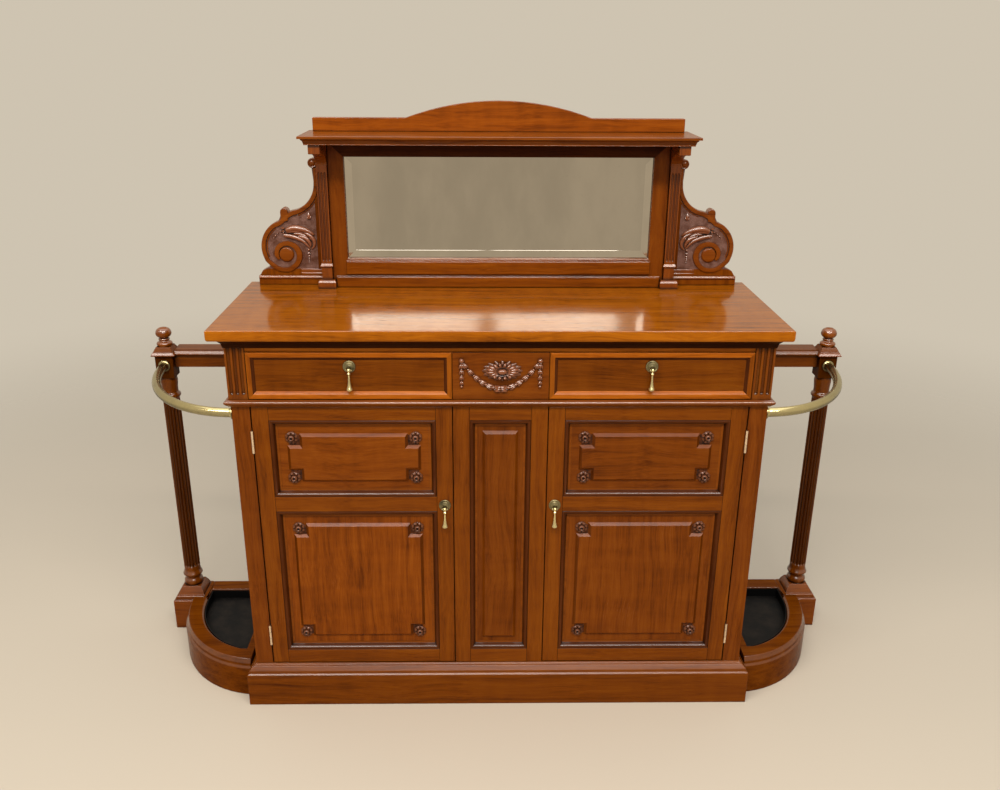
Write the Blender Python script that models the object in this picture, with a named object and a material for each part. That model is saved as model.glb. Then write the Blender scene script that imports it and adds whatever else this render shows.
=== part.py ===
"""Hall cupboard with a mirror back and a stick stand at each side.

Metres, +Z up, front towards -Y, origin on the floor under the middle of the top board.
Every sub-part is one named object. Places are written as (across, depth, up), where depth
is the distance from the wall that the cupboard stands against.
"""
import math

import bmesh
import bpy
from mathutils import Vector

# Clearances, and the worn edge left on square corners
FIT = 0.0003
ARRIS = 0.002
DOOR_GAP = 0.0016
DRAWER_GAP = 0.001
HINGE_GAP = 0.0024
TRAY_GAP = 0.001

# Carcass; the overall width runs over the feet of both stick stands
OVERALL_WIDTH = 1.692
CARCASS_DEPTH = 0.381
SIDE_THICK = 0.019
FRONT_THICK = 0.020
BACK_THICK = 0.010
BACK_INSET = 0.002
BOARD_THICK = 0.018
HOUSING = 0.006
STILE_WIDTH = 0.038
CENTRE_WIDTH = 0.200
SHELF_LEVEL = 0.430
SHELF_SETBACK = 0.030

# Top board and the cove moulding under it
TOP_HEIGHT = 0.915
TOP_THICK = 0.021
TOP_OVERHANG = 0.030
TOP_UNDERCUT = 0.005
COVE_HEIGHT = 0.023
COVE_REACH = 0.022
COVE_SEAT = 0.020
TOP_RAIL_HEIGHT = 0.009
TOP_RAIL_DEPTH = 0.081

# Frieze, waist and plinth
FRIEZE_HEIGHT = 0.1125
FRIEZE_PROUD = 0.004
BLOCK_PROUD = 0.0025
WAIST_HEIGHT = 0.016
WAIST_REACH = 0.0125
PLINTH_HEIGHT = 0.103
PLINTH_FACE = 0.081
PLINTH_REACH = 0.020
PLINTH_WALL = 0.037
PLINTH_BACK = 0.010
FLUTE_COUNT = 3
FLUTE_RADIUS = 0.004
FLUTE_SINK = 0.0025
FLUTE_MARGIN = 0.010

# Doors, panels and the fixed centre frame
DOOR_STILE = 0.035
DOOR_TOP_RAIL = 0.031
DOOR_MID_RAIL = 0.036
DOOR_LOW_RAIL = 0.034
UPPER_SIGHT = 0.178
PANEL_REBATE = 0.008
PANEL_SINK = 0.010
FIELD_MARGIN = 0.033
FIELD_RISE = 0.0055
FIELD_BEVEL = 0.006
CORNER_NOTCH = 0.027
CENTRE_FIELD_MARGIN = 0.027

# Butt hinges
HINGE_LENGTH = 0.051
HINGE_LEAF = 0.0008
HINGE_LEAF_DEPTH = 0.024
KNUCKLE_RADIUS = 0.0028
PIN_RADIUS = 0.001
PIN_PLAY = 0.0001
HINGE_FROM_TOP = 0.053
HINGE_FROM_FOOT = 0.051

# Drop pulls
PLATE_RADIUS = 0.013
PLATE_THICK = 0.003
PIVOT_REACH = 0.0105
PIVOT_DROP = 0.005
EAR_RADIUS = 0.003
EAR_THICK = 0.0012
PULL_PIN_RADIUS = 0.0012
PULL_PIN_PLAY = 0.0001
EAR_PLAY = 0.0004
BALL_RADIUS = 0.0042
DROP_LENGTH = 0.046
DROP_BULB = 0.0065
DOOR_PULL_INSET = 0.018
DOOR_PULL_HEIGHT = 0.511
DRAWER_PULL_ABOVE = 0.020

# Drawers
BEAD_WIDTH = 0.013
BEAD_SINK = 0.004
DRAWER_WALL = 0.010
DRAWER_BOTTOM = 0.006
DRAWER_BACK_SPACE = 0.025
DRAWER_HEADROOM = 0.012
DRAWER_SIDE_SPACE = 0.004
DIVIDER_THICK = 0.016

# Mirror back; its sight stands in from the ends of the carcass
MIRROR_INSET = 0.2115
MIRROR_HEIGHT = 0.231
MIRROR_UP = 0.067
MIRROR_REBATE = 0.010
MIRROR_THICK = 0.005
MIRROR_BEVEL = 0.014
MIRROR_BEVEL_DROP = 0.0015
FRAME_STILE = 0.036
FRAME_BACK = 0.020
FRAME_FACE = 0.050
FRAME_LIP = 0.015
SILL_TOP = 0.0615
SILL_LOW = 0.031
SILL_PROUD = 0.0055
STEP_HEIGHT = 0.025
PILASTER_WIDTH = 0.024
PILASTER_DEPTH = 0.060
BASE_BLOCK_WIDTH = 0.041
BASE_BLOCK_DEPTH = 0.070
BASE_BLOCK_HEIGHT = 0.020
CORBEL_HEIGHT = 0.019
CORBEL_SWEEP = 0.034
CORNICE_UP = 0.352
CORNICE_THICK = 0.019
CORNICE_DEPTH = 0.160
CORNICE_OVERHANG = 0.020
CORNICE_STEP = 0.013
CORBEL_INSET = 0.004
GALLERY_SHOULDER = 0.029
GALLERY_RISE = 0.037
GALLERY_ARCH = 0.418
GALLERY_THICK = 0.022
GALLERY_INSET = 0.014
GALLERY_BACK = 0.012

# Scroll brackets, measured out from the pilaster and up from the top board
BRACKET_BACK = 0.004
BRACKET_THICK = 0.022
BRACKET_STEP_REACH = 0.154
BRACKET_STEP_HEIGHT = 0.021
BRACKET_STEP_PROUD = 0.003
BRACKET_TOE = 0.003
SCROLL_OUT = 0.0765
SCROLL_UP = 0.088
SCROLL_RADIUS = 0.0665
SPUR_OUT = 0.0845
SPUR_WIDTH = 0.019
SPUR_UP = 0.180
NECK_WIDTH = 0.0125
SWEEP_RADIUS = 0.066
SWEEP_UP = 0.238
ROLL_RADIUS = 0.0105
ROLL_UP = 0.2815

# Stick stands
POST_OFFSET = 0.239
POST_DEPTH = 0.045
FOOT_WIDTH = 0.090
FOOT_HEIGHT = 0.082
FOOT_STEP_HEIGHT = 0.010
FOOT_STEP_INSET = 0.006
FOOT_CAP_HEIGHT = 0.016
SHAFT_RADIUS = 0.020
SHAFT_FLUTES = 16
SHAFT_FLUTE_SINK = 0.0016
SHAFT_FOOT = 0.160
NECK_HEIGHT = 0.058
BLOCK_WIDTH = 0.042
BLOCK_HEIGHT = 0.057
BLOCK_BELOW_WAIST = 0.0102
CAP_WIDTH = 0.056
CAP_THICK = 0.010
CAP_RISE = 0.011
CAP_SLOPE = 0.011
FINIAL_RADIUS = 0.0185
FINIAL_HEIGHT = 0.066
STAND_RAIL_RISE = 0.012
STAND_RAIL_DROP = 0.032
STAND_RAIL_BACK = 0.006
STAND_RAIL_FRONT = 0.060
STAND_RAIL_THICK = 0.025
STAND_CAP_THICK = 0.008
STAND_CAP_REACH = 0.005
TUBE_RADIUS = 0.010
TUBE_ABOVE_NECK = 0.033
TUBE_REACH = 0.366
FLANGE_RADIUS = 0.014
FLANGE_THICK = 0.003
KERB_REACH = 0.236
KERB_FRONT = 0.366
KERB_TURN = 0.100
KERB_HEIGHT = 0.096
KERB_FACE = 0.074
KERB_NOSE = 0.007
KERB_WIDTH = 0.046
KERB_BACK = 0.015
KERB_SIDE = 0.018
KERB_LEDGE = 0.008
LEDGE_LEVEL = 0.068
TRAY_WALL = 0.002
TRAY_RIM_BELOW = 0.003

# Finishes: base colour, roughness, metallic
WALNUT = "polished_walnut"
FIGURED = "figured_walnut"
LINING = "drawer_lining"
BRASS = "aged_brass"
GLASS = "mirror_glass"
IRON = "black_iron"
FINISHES = {
    WALNUT: ((0.23, 0.075, 0.022), 0.28, 0.0),
    FIGURED: ((0.27, 0.095, 0.026), 0.26, 0.0),
    LINING: ((0.45, 0.30, 0.17), 0.60, 0.0),
    BRASS: ((0.66, 0.53, 0.27), 0.30, 1.0),
    GLASS: ((0.80, 0.81, 0.79), 0.03, 1.0),
    IRON: ((0.018, 0.018, 0.018), 0.55, 0.6),
}

# Levels and planes that follow from the sizes above
WALL = (CARCASS_DEPTH + TOP_OVERHANG) / 2
HALF = OVERALL_WIDTH / 2 - POST_OFFSET - FOOT_WIDTH / 2
INNER = HALF - SIDE_THICK
JOINT = HALF - STILE_WIDTH
CENTRE_HALF = CENTRE_WIDTH / 2
FRONT_BACK = CARCASS_DEPTH - FRONT_THICK
BACK_FACE = BACK_INSET + BACK_THICK
TOP_LOW = TOP_HEIGHT - TOP_THICK
COVE_TOP = TOP_LOW - FIT
COVE_LOW = COVE_TOP - COVE_HEIGHT
WAIST_TOP = COVE_LOW - FRIEZE_HEIGHT
WAIST_LOW = WAIST_TOP - WAIST_HEIGHT
FRIEZE_FACE = CARCASS_DEPTH + FRIEZE_PROUD
FRIEZE_LOW = WAIST_TOP + FIT
FRIEZE_TOP = COVE_LOW - TOP_RAIL_HEIGHT
CARCASS_LOW = PLINTH_HEIGHT + FIT
BOTTOM_TOP = CARCASS_LOW + BOARD_THICK
GROUND_FACE = CARCASS_DEPTH - PANEL_SINK
HINGE_LINE = JOINT - HINGE_GAP / 2
HINGE_DEPTH = CARCASS_DEPTH + KNUCKLE_RADIUS + FIT
DOOR_OUTER = JOINT - HINGE_GAP
DOOR_INNER = CENTRE_HALF + DOOR_GAP
DOOR_LOW = PLINTH_HEIGHT + DOOR_GAP
DOOR_TOP = WAIST_LOW - DOOR_GAP
UPPER_SIGHT_TOP = DOOR_TOP - DOOR_TOP_RAIL
UPPER_SIGHT_LOW = UPPER_SIGHT_TOP - UPPER_SIGHT
LOWER_SIGHT_TOP = UPPER_SIGHT_LOW - DOOR_MID_RAIL
LOWER_SIGHT_LOW = DOOR_LOW + DOOR_LOW_RAIL
DRAWER_INNER = CENTRE_HALF + DRAWER_GAP
DRAWER_OUTER = JOINT - DRAWER_GAP
DRAWER_LOW = WAIST_TOP + DRAWER_GAP
DRAWER_TOP = FRIEZE_TOP - DRAWER_GAP
DRAWER_BACK = FRIEZE_FACE - FRONT_THICK
SIGHT_HALF = HALF - MIRROR_INSET
SIGHT_LOW = TOP_HEIGHT + MIRROR_UP
SIGHT_TOP = SIGHT_LOW + MIRROR_HEIGHT
FRAME_HALF = SIGHT_HALF + FRAME_STILE
REBATE_FACE = FRAME_FACE - FRAME_LIP
PILASTER_IN = FRAME_HALF + FIT
PILASTER_OUT = PILASTER_IN + PILASTER_WIDTH
PILASTER_MID = (PILASTER_IN + PILASTER_OUT) / 2
BASE_IN = PILASTER_MID - BASE_BLOCK_WIDTH / 2
BASE_OUT = PILASTER_MID + BASE_BLOCK_WIDTH / 2
BACK_LOW = TOP_HEIGHT + FIT
CORNICE_TOP = TOP_HEIGHT + CORNICE_UP
CORNICE_LOW = CORNICE_TOP - CORNICE_THICK
CORNICE_HALF = PILASTER_OUT + CORNICE_OVERHANG
POST_ACROSS = HALF + POST_OFFSET
BLOCK_TOP = WAIST_TOP - BLOCK_BELOW_WAIST
BLOCK_LOW = BLOCK_TOP - BLOCK_HEIGHT
SHAFT_TOP = BLOCK_LOW - NECK_HEIGHT
POST_TOP = BLOCK_TOP + FINIAL_HEIGHT
STAND_RAIL_TOP = BLOCK_TOP + STAND_RAIL_RISE
STAND_RAIL_LOW = BLOCK_TOP - STAND_RAIL_DROP
TUBE_LEVEL = BLOCK_LOW + TUBE_ABOVE_NECK
FOOT_IN = POST_ACROSS - FOOT_WIDTH / 2
PLINTH_HALF = HALF + PLINTH_REACH
KERB_IN = PLINTH_HALF + FIT


def place(across, depth, up):
    return Vector((across, WALL - depth, up))


def finish(name):
    material = bpy.data.materials.get(name)
    if material is None:
        colour, roughness, metallic = FINISHES[name]
        material = bpy.data.materials.new(name)
        material.use_nodes = True
        shader = material.node_tree.nodes["Principled BSDF"]
        shader.inputs["Base Color"].default_value = (*colour, 1.0)
        shader.inputs["Roughness"].default_value = roughness
        shader.inputs["Metallic"].default_value = metallic
        material.diffuse_color = (*colour, 1.0)
    return material


def add_object(name, build, material, smooth):
    """Close a bmesh into a named object with its faces outwards."""
    bmesh.ops.recalc_face_normals(build, faces=build.faces)
    mesh = bpy.data.meshes.new(name)
    build.to_mesh(mesh)
    build.free()
    mesh.materials.append(finish(material))
    if smooth:
        mesh.shade_smooth()
        mesh.set_sharp_from_angle(angle=math.radians(35))
    item = bpy.data.objects.new(name, mesh)
    bpy.context.scene.collection.objects.link(item)
    return item


def loft(name, loops, material, ring=False, smooth=False):
    """Bridge equal loops of places in order; a ring closes on itself, a bar has two end faces."""
    build = bmesh.new()
    rows = [[build.verts.new(place(*point)) for point in loop] for loop in loops]
    count = len(rows[0])
    pairs = list(zip(rows, rows[1:]))
    if ring:
        pairs.append((rows[-1], rows[0]))
    for near, far in pairs:
        for k in range(count):
            after = (k + 1) % count
            build.faces.new((near[k], near[after], far[after], far[k]))
    if not ring:
        build.faces.new(rows[0])
        build.faces.new(rows[-1])
    return add_object(name, build, material, smooth)


def cell_block(name, acrosses, depths, ups, is_solid, material):
    """A square-cut piece: the cells of a grid whose middle is_solid accepts, as one skin."""
    build = bmesh.new()
    corners = {}

    def corner(i, j, k):
        if (i, j, k) not in corners:
            corners[i, j, k] = build.verts.new(place(acrosses[i], depths[j], ups[k]))
        return corners[i, j, k]

    def filled(i, j, k):
        if not (0 <= i < len(acrosses) - 1 and 0 <= j < len(depths) - 1 and 0 <= k < len(ups) - 1):
            return False
        return is_solid((acrosses[i] + acrosses[i + 1]) / 2, (depths[j] + depths[j + 1]) / 2,
                        (ups[k] + ups[k + 1]) / 2)

    for i in range(len(acrosses) - 1):
        for j in range(len(depths) - 1):
            for k in range(len(ups) - 1):
                if not filled(i, j, k):
                    continue
                for side in (0, 1):
                    step = 2 * side - 1
                    if not filled(i + step, j, k):
                        at = i + side
                        build.faces.new([corner(at, *p) for p in
                                         ((j, k), (j + 1, k), (j + 1, k + 1), (j, k + 1))])
                    if not filled(i, j + step, k):
                        at = j + side
                        build.faces.new([corner(a, at, c) for a, c in
                                         ((i, k), (i + 1, k), (i + 1, k + 1), (i, k + 1))])
                    if not filled(i, j, k + step):
                        at = k + side
                        build.faces.new([corner(a, b, at) for a, b in
                                         ((i, j), (i + 1, j), (i + 1, j + 1), (i, j + 1))])
    return add_object(name, build, material, smooth=False)


def box(name, across, depth, up, material):
    return cell_block(name, sorted(across), depth, up, lambda *middle: True, material)


def rectangle(half, back, front, up):
    return [(-half, back, up), (half, back, up), (half, front, up), (-half, front, up)]


def panel_loop(across, ups, inset, depth):
    """A rectangle facing the room, drawn in from its edges."""
    low, high = min(across) + inset, max(across) - inset
    return [(low, depth, ups[0] + inset), (high, depth, ups[0] + inset),
            (high, depth, ups[1] - inset), (low, depth, ups[1] - inset)]


def square_loop(middle_across, middle_depth, half, up):
    return [(middle_across + a * half, middle_depth + b * half, up)
            for a, b in ((-1, -1), (1, -1), (1, 1), (-1, 1))]


def arc(centre, radius, start, end, steps):
    """Points of an arc, from the start angle to the end angle in degrees."""
    points = []
    for k in range(steps + 1):
        angle = math.radians(start + (end - start) * k / steps)
        points.append((centre[0] + radius * math.cos(angle), centre[1] + radius * math.sin(angle)))
    return points


def turned(name, profile, centre, material, axis="up", sides=20, flutes=None):
    """Turn (radius, distance) pairs about an axis through centre; flutes names the fluted stretch."""
    loops = []
    for radius, along in profile:
        loop = []
        for k in range(sides):
            reach = radius
            if flutes and flutes[0] <= along <= flutes[1] and k % 2:
                reach = radius - SHAFT_FLUTE_SINK
            angle = 2 * math.pi * k / sides
            a, b = reach * math.cos(angle), reach * math.sin(angle)
            offset = {"up": (a, b, along), "depth": (a, along, b), "across": (along, a, b)}[axis]
            loop.append(tuple(c + o for c, o in zip(centre, offset)))
        loops.append(loop)
    return loft(name, loops, material, smooth=True)


def combine(item, others, operation):
    """Join or cut whole pieces with exact booleans and keep one clean mesh."""
    for other in others:
        change = item.modifiers.new(operation.lower(), "BOOLEAN")
        change.operation = operation
        change.solver = "EXACT"
        change.object = other
        bpy.context.view_layer.update()
        evaluated = item.evaluated_get(bpy.context.evaluated_depsgraph_get())
        mesh = bpy.data.meshes.new_from_object(evaluated)
        item.modifiers.clear()
        old = item.data
        item.data = mesh
        mesh.name = item.name
        bpy.data.meshes.remove(old)
        spare = other.data
        bpy.data.objects.remove(other)
        bpy.data.meshes.remove(spare)
    return item


def side_name(side, piece):
    return f"{'left' if side < 0 else 'right'}_{piece}"


def moulding(name, profile, half, front, back, material):
    """Run an (offset, up) profile round the left side, front and right side with mitred corners."""
    loops = []
    for side, at_front in ((-1, False), (-1, True), (1, True), (1, False)):
        loops.append([(side * (half + out), front + out if at_front else back, up)
                      for out, up in profile])
    return loft(name, loops, material)


def flute_cutters(middle, width, face, ups):
    """Round-ended rods, evenly spaced over a face, that cut its flutes."""
    rods = []
    pitch = width / FLUTE_COUNT
    for k in range(FLUTE_COUNT):
        across = middle + (k - (FLUTE_COUNT - 1) / 2) * pitch
        low, high = ups[0] + FLUTE_RADIUS, ups[1] - FLUTE_RADIUS
        end = [(FLUTE_RADIUS * r, FLUTE_RADIUS * s) for r, s in ((0.3, 0.95), (0.75, 0.65), (1.0, 0.0))]
        profile = [(r, low - s) for r, s in end] + [(r, high + s) for r, s in reversed(end)]
        rods.append(turned(f"flute_cutter_{k}", profile, (across, face + FLUTE_RADIUS - FLUTE_SINK, 0),
                           WALNUT, sides=12))
    return rods


def make_top_board():
    half, front = HALF + TOP_OVERHANG, CARCASS_DEPTH + TOP_OVERHANG
    edge = [(TOP_LOW, TOP_UNDERCUT), (TOP_LOW + TOP_UNDERCUT * 0.4, TOP_UNDERCUT * 0.3),
            (TOP_LOW + TOP_UNDERCUT, 0), (TOP_HEIGHT - ARRIS, 0), (TOP_HEIGHT, ARRIS)]
    loops = [rectangle(half - inset, 0, front - inset, up) for up, inset in edge]
    return [loft("top_board", loops, FIGURED)]


def make_top_moulding():
    """Cove under the top board, with the rail over the drawers joined to it."""
    foot = FRIEZE_PROUD + FIT
    cove = [(COVE_REACH - (COVE_REACH - foot) * math.sin(math.radians(a)),
             COVE_TOP - COVE_HEIGHT * 0.15 - COVE_HEIGHT * 0.85 * (1 - math.cos(math.radians(a))))
            for a in (0, 30, 60, 90)]
    profile = [(-COVE_SEAT, COVE_LOW), (-COVE_SEAT, COVE_TOP), (COVE_REACH, COVE_TOP), *cove]
    ring = moulding("top_moulding", profile, HALF, CARCASS_DEPTH, BACK_FACE + FIT, WALNUT)
    rail = box("drawer_rail", (-JOINT + FIT, JOINT - FIT), (CARCASS_DEPTH - TOP_RAIL_DEPTH, CARCASS_DEPTH),
               (FRIEZE_TOP, COVE_LOW + COVE_HEIGHT / 3), WALNUT)
    return [combine(ring, [rail], "UNION")]


def make_sides():
    """Side boards with housings for the bottom, the shelf and the waist board."""
    housings = ((CARCASS_LOW, BOTTOM_TOP), (SHELF_LEVEL, SHELF_LEVEL + BOARD_THICK), (WAIST_LOW, WAIST_TOP))
    ups = [CARCASS_LOW]
    for low, high in housings:
        ups += [low - FIT, high + FIT]
    ups = sorted({max(up, CARCASS_LOW) for up in ups} | {COVE_LOW - FIT})

    def is_solid(across, depth, up):
        housed = any(low - FIT < up < high + FIT for low, high in housings)
        return not (housed and abs(across) < INNER + HOUSING)

    made = []
    for side in (-1, 1):
        acrosses = sorted(side * a for a in (INNER, INNER + HOUSING, HALF))
        depths = (BACK_FACE + FIT, FRONT_BACK - FIT)
        made.append(cell_block(side_name(side, "side_panel"), acrosses, depths, ups, is_solid, WALNUT))
    return made


def make_boards():
    housed = INNER + HOUSING - FIT
    span = (-housed, housed)
    run = (BACK_FACE + FIT, FRONT_BACK - FIT)
    return [
        box("back_panel", (-HALF, HALF), (BACK_INSET, BACK_FACE), (CARCASS_LOW, COVE_TOP), LINING),
        box("bottom_board", span, run, (CARCASS_LOW, BOTTOM_TOP), LINING),
        box("inner_shelf", span, (run[0], FRONT_BACK - SHELF_SETBACK),
            (SHELF_LEVEL, SHELF_LEVEL + BOARD_THICK), LINING),
    ]


def make_waist_board():
    """Board between the cupboard and the drawers, with the waist moulding on its front and returns."""
    nose = WAIST_HEIGHT / 4
    profile = [(FIT, WAIST_LOW), (FIT, WAIST_TOP), (WAIST_REACH * 0.55, WAIST_TOP),
               (WAIST_REACH, WAIST_TOP - nose), (WAIST_REACH, WAIST_TOP - 2 * nose),
               (WAIST_REACH * 0.45, WAIST_LOW + nose / 2), (WAIST_REACH * 0.35, WAIST_LOW)]
    ring = moulding("waist_board", profile, HALF, CARCASS_DEPTH, STAND_RAIL_FRONT + FIT, WALNUT)
    housed = INNER + HOUSING - FIT
    rail = JOINT - FIT
    depths = (BACK_FACE + FIT, FRONT_BACK - FIT, CARCASS_DEPTH + WAIST_REACH / 3)
    board = cell_block("board", (-housed, -rail, rail, housed), depths, (WAIST_LOW, WAIST_TOP),
                       lambda across, depth, up: depth < FRONT_BACK or abs(across) < rail, WALNUT)
    return [combine(ring, [board], "UNION")]


def make_front_stiles():
    made = []
    for side in (-1, 1):
        acrosses = sorted(side * a for a in (JOINT, HALF, HALF + BLOCK_PROUD))
        stile = cell_block(side_name(side, "front_stile"), acrosses, (FRONT_BACK, CARCASS_DEPTH, FRIEZE_FACE),
                           (CARCASS_LOW, FRIEZE_LOW, COVE_LOW - FIT),
                           lambda a, d, u: u > FRIEZE_LOW or (abs(a) < HALF and d < CARCASS_DEPTH), WALNUT)
        width = STILE_WIDTH + BLOCK_PROUD
        middle = side * (JOINT + width / 2)
        rods = flute_cutters(middle, width - FLUTE_RADIUS, FRIEZE_FACE,
                             (FRIEZE_LOW + FLUTE_MARGIN, COVE_LOW - FLUTE_MARGIN))
        made.append(combine(stile, rods, "DIFFERENCE"))
    return made


def make_plinth():
    """Base frame with a moulded top edge, open in the middle."""
    drop = PLINTH_HEIGHT - PLINTH_FACE
    edge = [(0, 0), (PLINTH_FACE, 0), (PLINTH_FACE + drop * 0.15, PLINTH_REACH * 0.2),
            (PLINTH_FACE + drop * 0.4, PLINTH_REACH * 0.25), (PLINTH_FACE + drop * 0.8, PLINTH_REACH * 0.65),
            (PLINTH_FACE + drop * 0.85, PLINTH_REACH * 0.8), (PLINTH_HEIGHT, PLINTH_REACH * 0.92)]
    front = CARCASS_DEPTH + PLINTH_REACH
    loops = [rectangle(PLINTH_HALF - inset, PLINTH_BACK, front - inset, up) for up, inset in edge]
    hollow = PLINTH_HALF - PLINTH_WALL
    for up in (PLINTH_HEIGHT, 0):
        loops.append(rectangle(hollow, PLINTH_BACK + PLINTH_WALL, front - PLINTH_WALL, up))
    return [loft("plinth", loops, WALNUT, ring=True)]


def framed(name, across, ups, sights, depths, material):
    """A joined frame: sights are (low, high) openings, rebated from behind for their panels."""
    low, high = across[0] + DOOR_STILE, across[1] - DOOR_STILE
    acrosses = [across[0], low - PANEL_REBATE, low, high, high + PANEL_REBATE, across[1]]
    levels = list(ups)
    for sight in sights:
        levels += [sight[0] - PANEL_REBATE, sight[0], sight[1], sight[1] + PANEL_REBATE]

    def is_solid(a, depth, up):
        grow = PANEL_REBATE if depth < depths[1] else 0
        return not any(low - grow < a < high + grow and s[0] - grow < up < s[1] + grow for s in sights)

    return cell_block(name, acrosses, depths, sorted(levels), is_solid, material)


def fielded_panel(name, across, ups, margin, notch, material):
    """A panel lying in its rebate, with a bevelled raised field; notch cuts its corners square."""
    reach = PANEL_REBATE - FIT
    low, high = across[0] + DOOR_STILE, across[1] - DOOR_STILE
    plate = box(name, (low - reach, high + reach), (FRONT_BACK + FIT, GROUND_FACE - FIT),
                (ups[0] - reach, ups[1] + reach), material)
    loops = []
    edge = ((0, GROUND_FACE - PANEL_SINK / 3), (0, GROUND_FACE), (FIELD_BEVEL, GROUND_FACE + FIELD_RISE))
    for inset, depth in edge:
        grow = margin + inset
        left, right, foot, head = low + grow, high - grow, ups[0] + grow, ups[1] - grow
        outline = []
        for a, u, da, du in ((left, foot, 1, 1), (right, foot, -1, 1), (right, head, -1, -1),
                             (left, head, 1, -1)):
            corner = [(a + da * notch, u), (a + da * notch, u + du * notch), (a, u + du * notch)]
            if notch == 0:
                corner = [(a, u)]
            outline += corner if da * du < 0 else corner[::-1]
        loops.append([(a, depth, u) for a, u in outline])
    field = loft("field", loops, material)
    return combine(plate, [field], "UNION")


def make_door(side):
    across = sorted((side * DOOR_INNER, side * DOOR_OUTER))
    sights = ((LOWER_SIGHT_LOW, LOWER_SIGHT_TOP), (UPPER_SIGHT_LOW, UPPER_SIGHT_TOP))
    return [
        framed(side_name(side, "door_frame"), across, (DOOR_LOW, DOOR_TOP), sights,
               (FRONT_BACK, GROUND_FACE, CARCASS_DEPTH), WALNUT),
        fielded_panel(side_name(side, "door_lower_panel"), across, sights[0], FIELD_MARGIN, CORNER_NOTCH,
                      FIGURED),
        fielded_panel(side_name(side, "door_upper_panel"), across, sights[1], FIELD_MARGIN, CORNER_NOTCH,
                      FIGURED),
    ]


def make_centre_frame():
    across = (-CENTRE_HALF, CENTRE_HALF)
    sight = (LOWER_SIGHT_LOW, UPPER_SIGHT_TOP)
    return [
        framed("centre_frame", across, (CARCASS_LOW, WAIST_LOW - FIT), (sight,),
               (FRONT_BACK, GROUND_FACE, CARCASS_DEPTH), WALNUT),
        fielded_panel("centre_panel", across, sight, CENTRE_FIELD_MARGIN, 0, FIGURED),
    ]


def make_hinge(side, level, where):
    """A butt hinge in the gap between stile and door: a fixed leaf with its pin, and a door leaf."""
    axis = (side * HINGE_LINE, HINGE_DEPTH, 0)
    low, high = level - HINGE_LENGTH / 2, level + HINGE_LENGTH / 2
    third = HINGE_LENGTH / 3
    leaf_run = (CARCASS_DEPTH - HINGE_LEAF_DEPTH, CARCASS_DEPTH - FIT)
    tab_run = (leaf_run[1] - HINGE_LEAF, HINGE_DEPTH)
    bore = PIN_RADIUS + PIN_PLAY
    outer = [side * (JOINT - FIT), side * (JOINT - FIT - HINGE_LEAF)]
    inner = [side * (DOOR_OUTER + FIT), side * (DOOR_OUTER + FIT + HINGE_LEAF)]
    fixed = box(side_name(side, f"{where}_hinge_fixed_leaf"), outer, leaf_run, (low, high), BRASS)
    parts = [turned("pin", [(PIN_RADIUS, low + FIT), (PIN_RADIUS, high - FIT)], axis, BRASS, sides=10)]
    for start, end in ((low, low + third - FIT), (high - third + FIT, high)):
        barrel = [(KNUCKLE_RADIUS, start), (KNUCKLE_RADIUS, end)]
        parts.append(turned("knuckle", barrel, axis, BRASS, sides=12))
        parts.append(box("tab", outer, tab_run, (start, end), BRASS))
    combine(fixed, parts, "UNION")
    swinging = box(side_name(side, f"{where}_hinge_door_leaf"), inner, leaf_run, (low, high), BRASS)
    start, end = low + third + FIT, high - third - FIT
    knuckle = turned("knuckle", [(KNUCKLE_RADIUS, start), (KNUCKLE_RADIUS, end)], axis, BRASS, sides=12)
    tab = box("tab", inner, tab_run, (start, end), BRASS)
    combine(swinging, [knuckle, tab], "UNION")
    drill = turned("drill", [(bore, start - third / 2), (bore, end + third / 2)], axis, BRASS, sides=10)
    combine(swinging, [drill], "DIFFERENCE")
    return fixed, swinging


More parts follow.
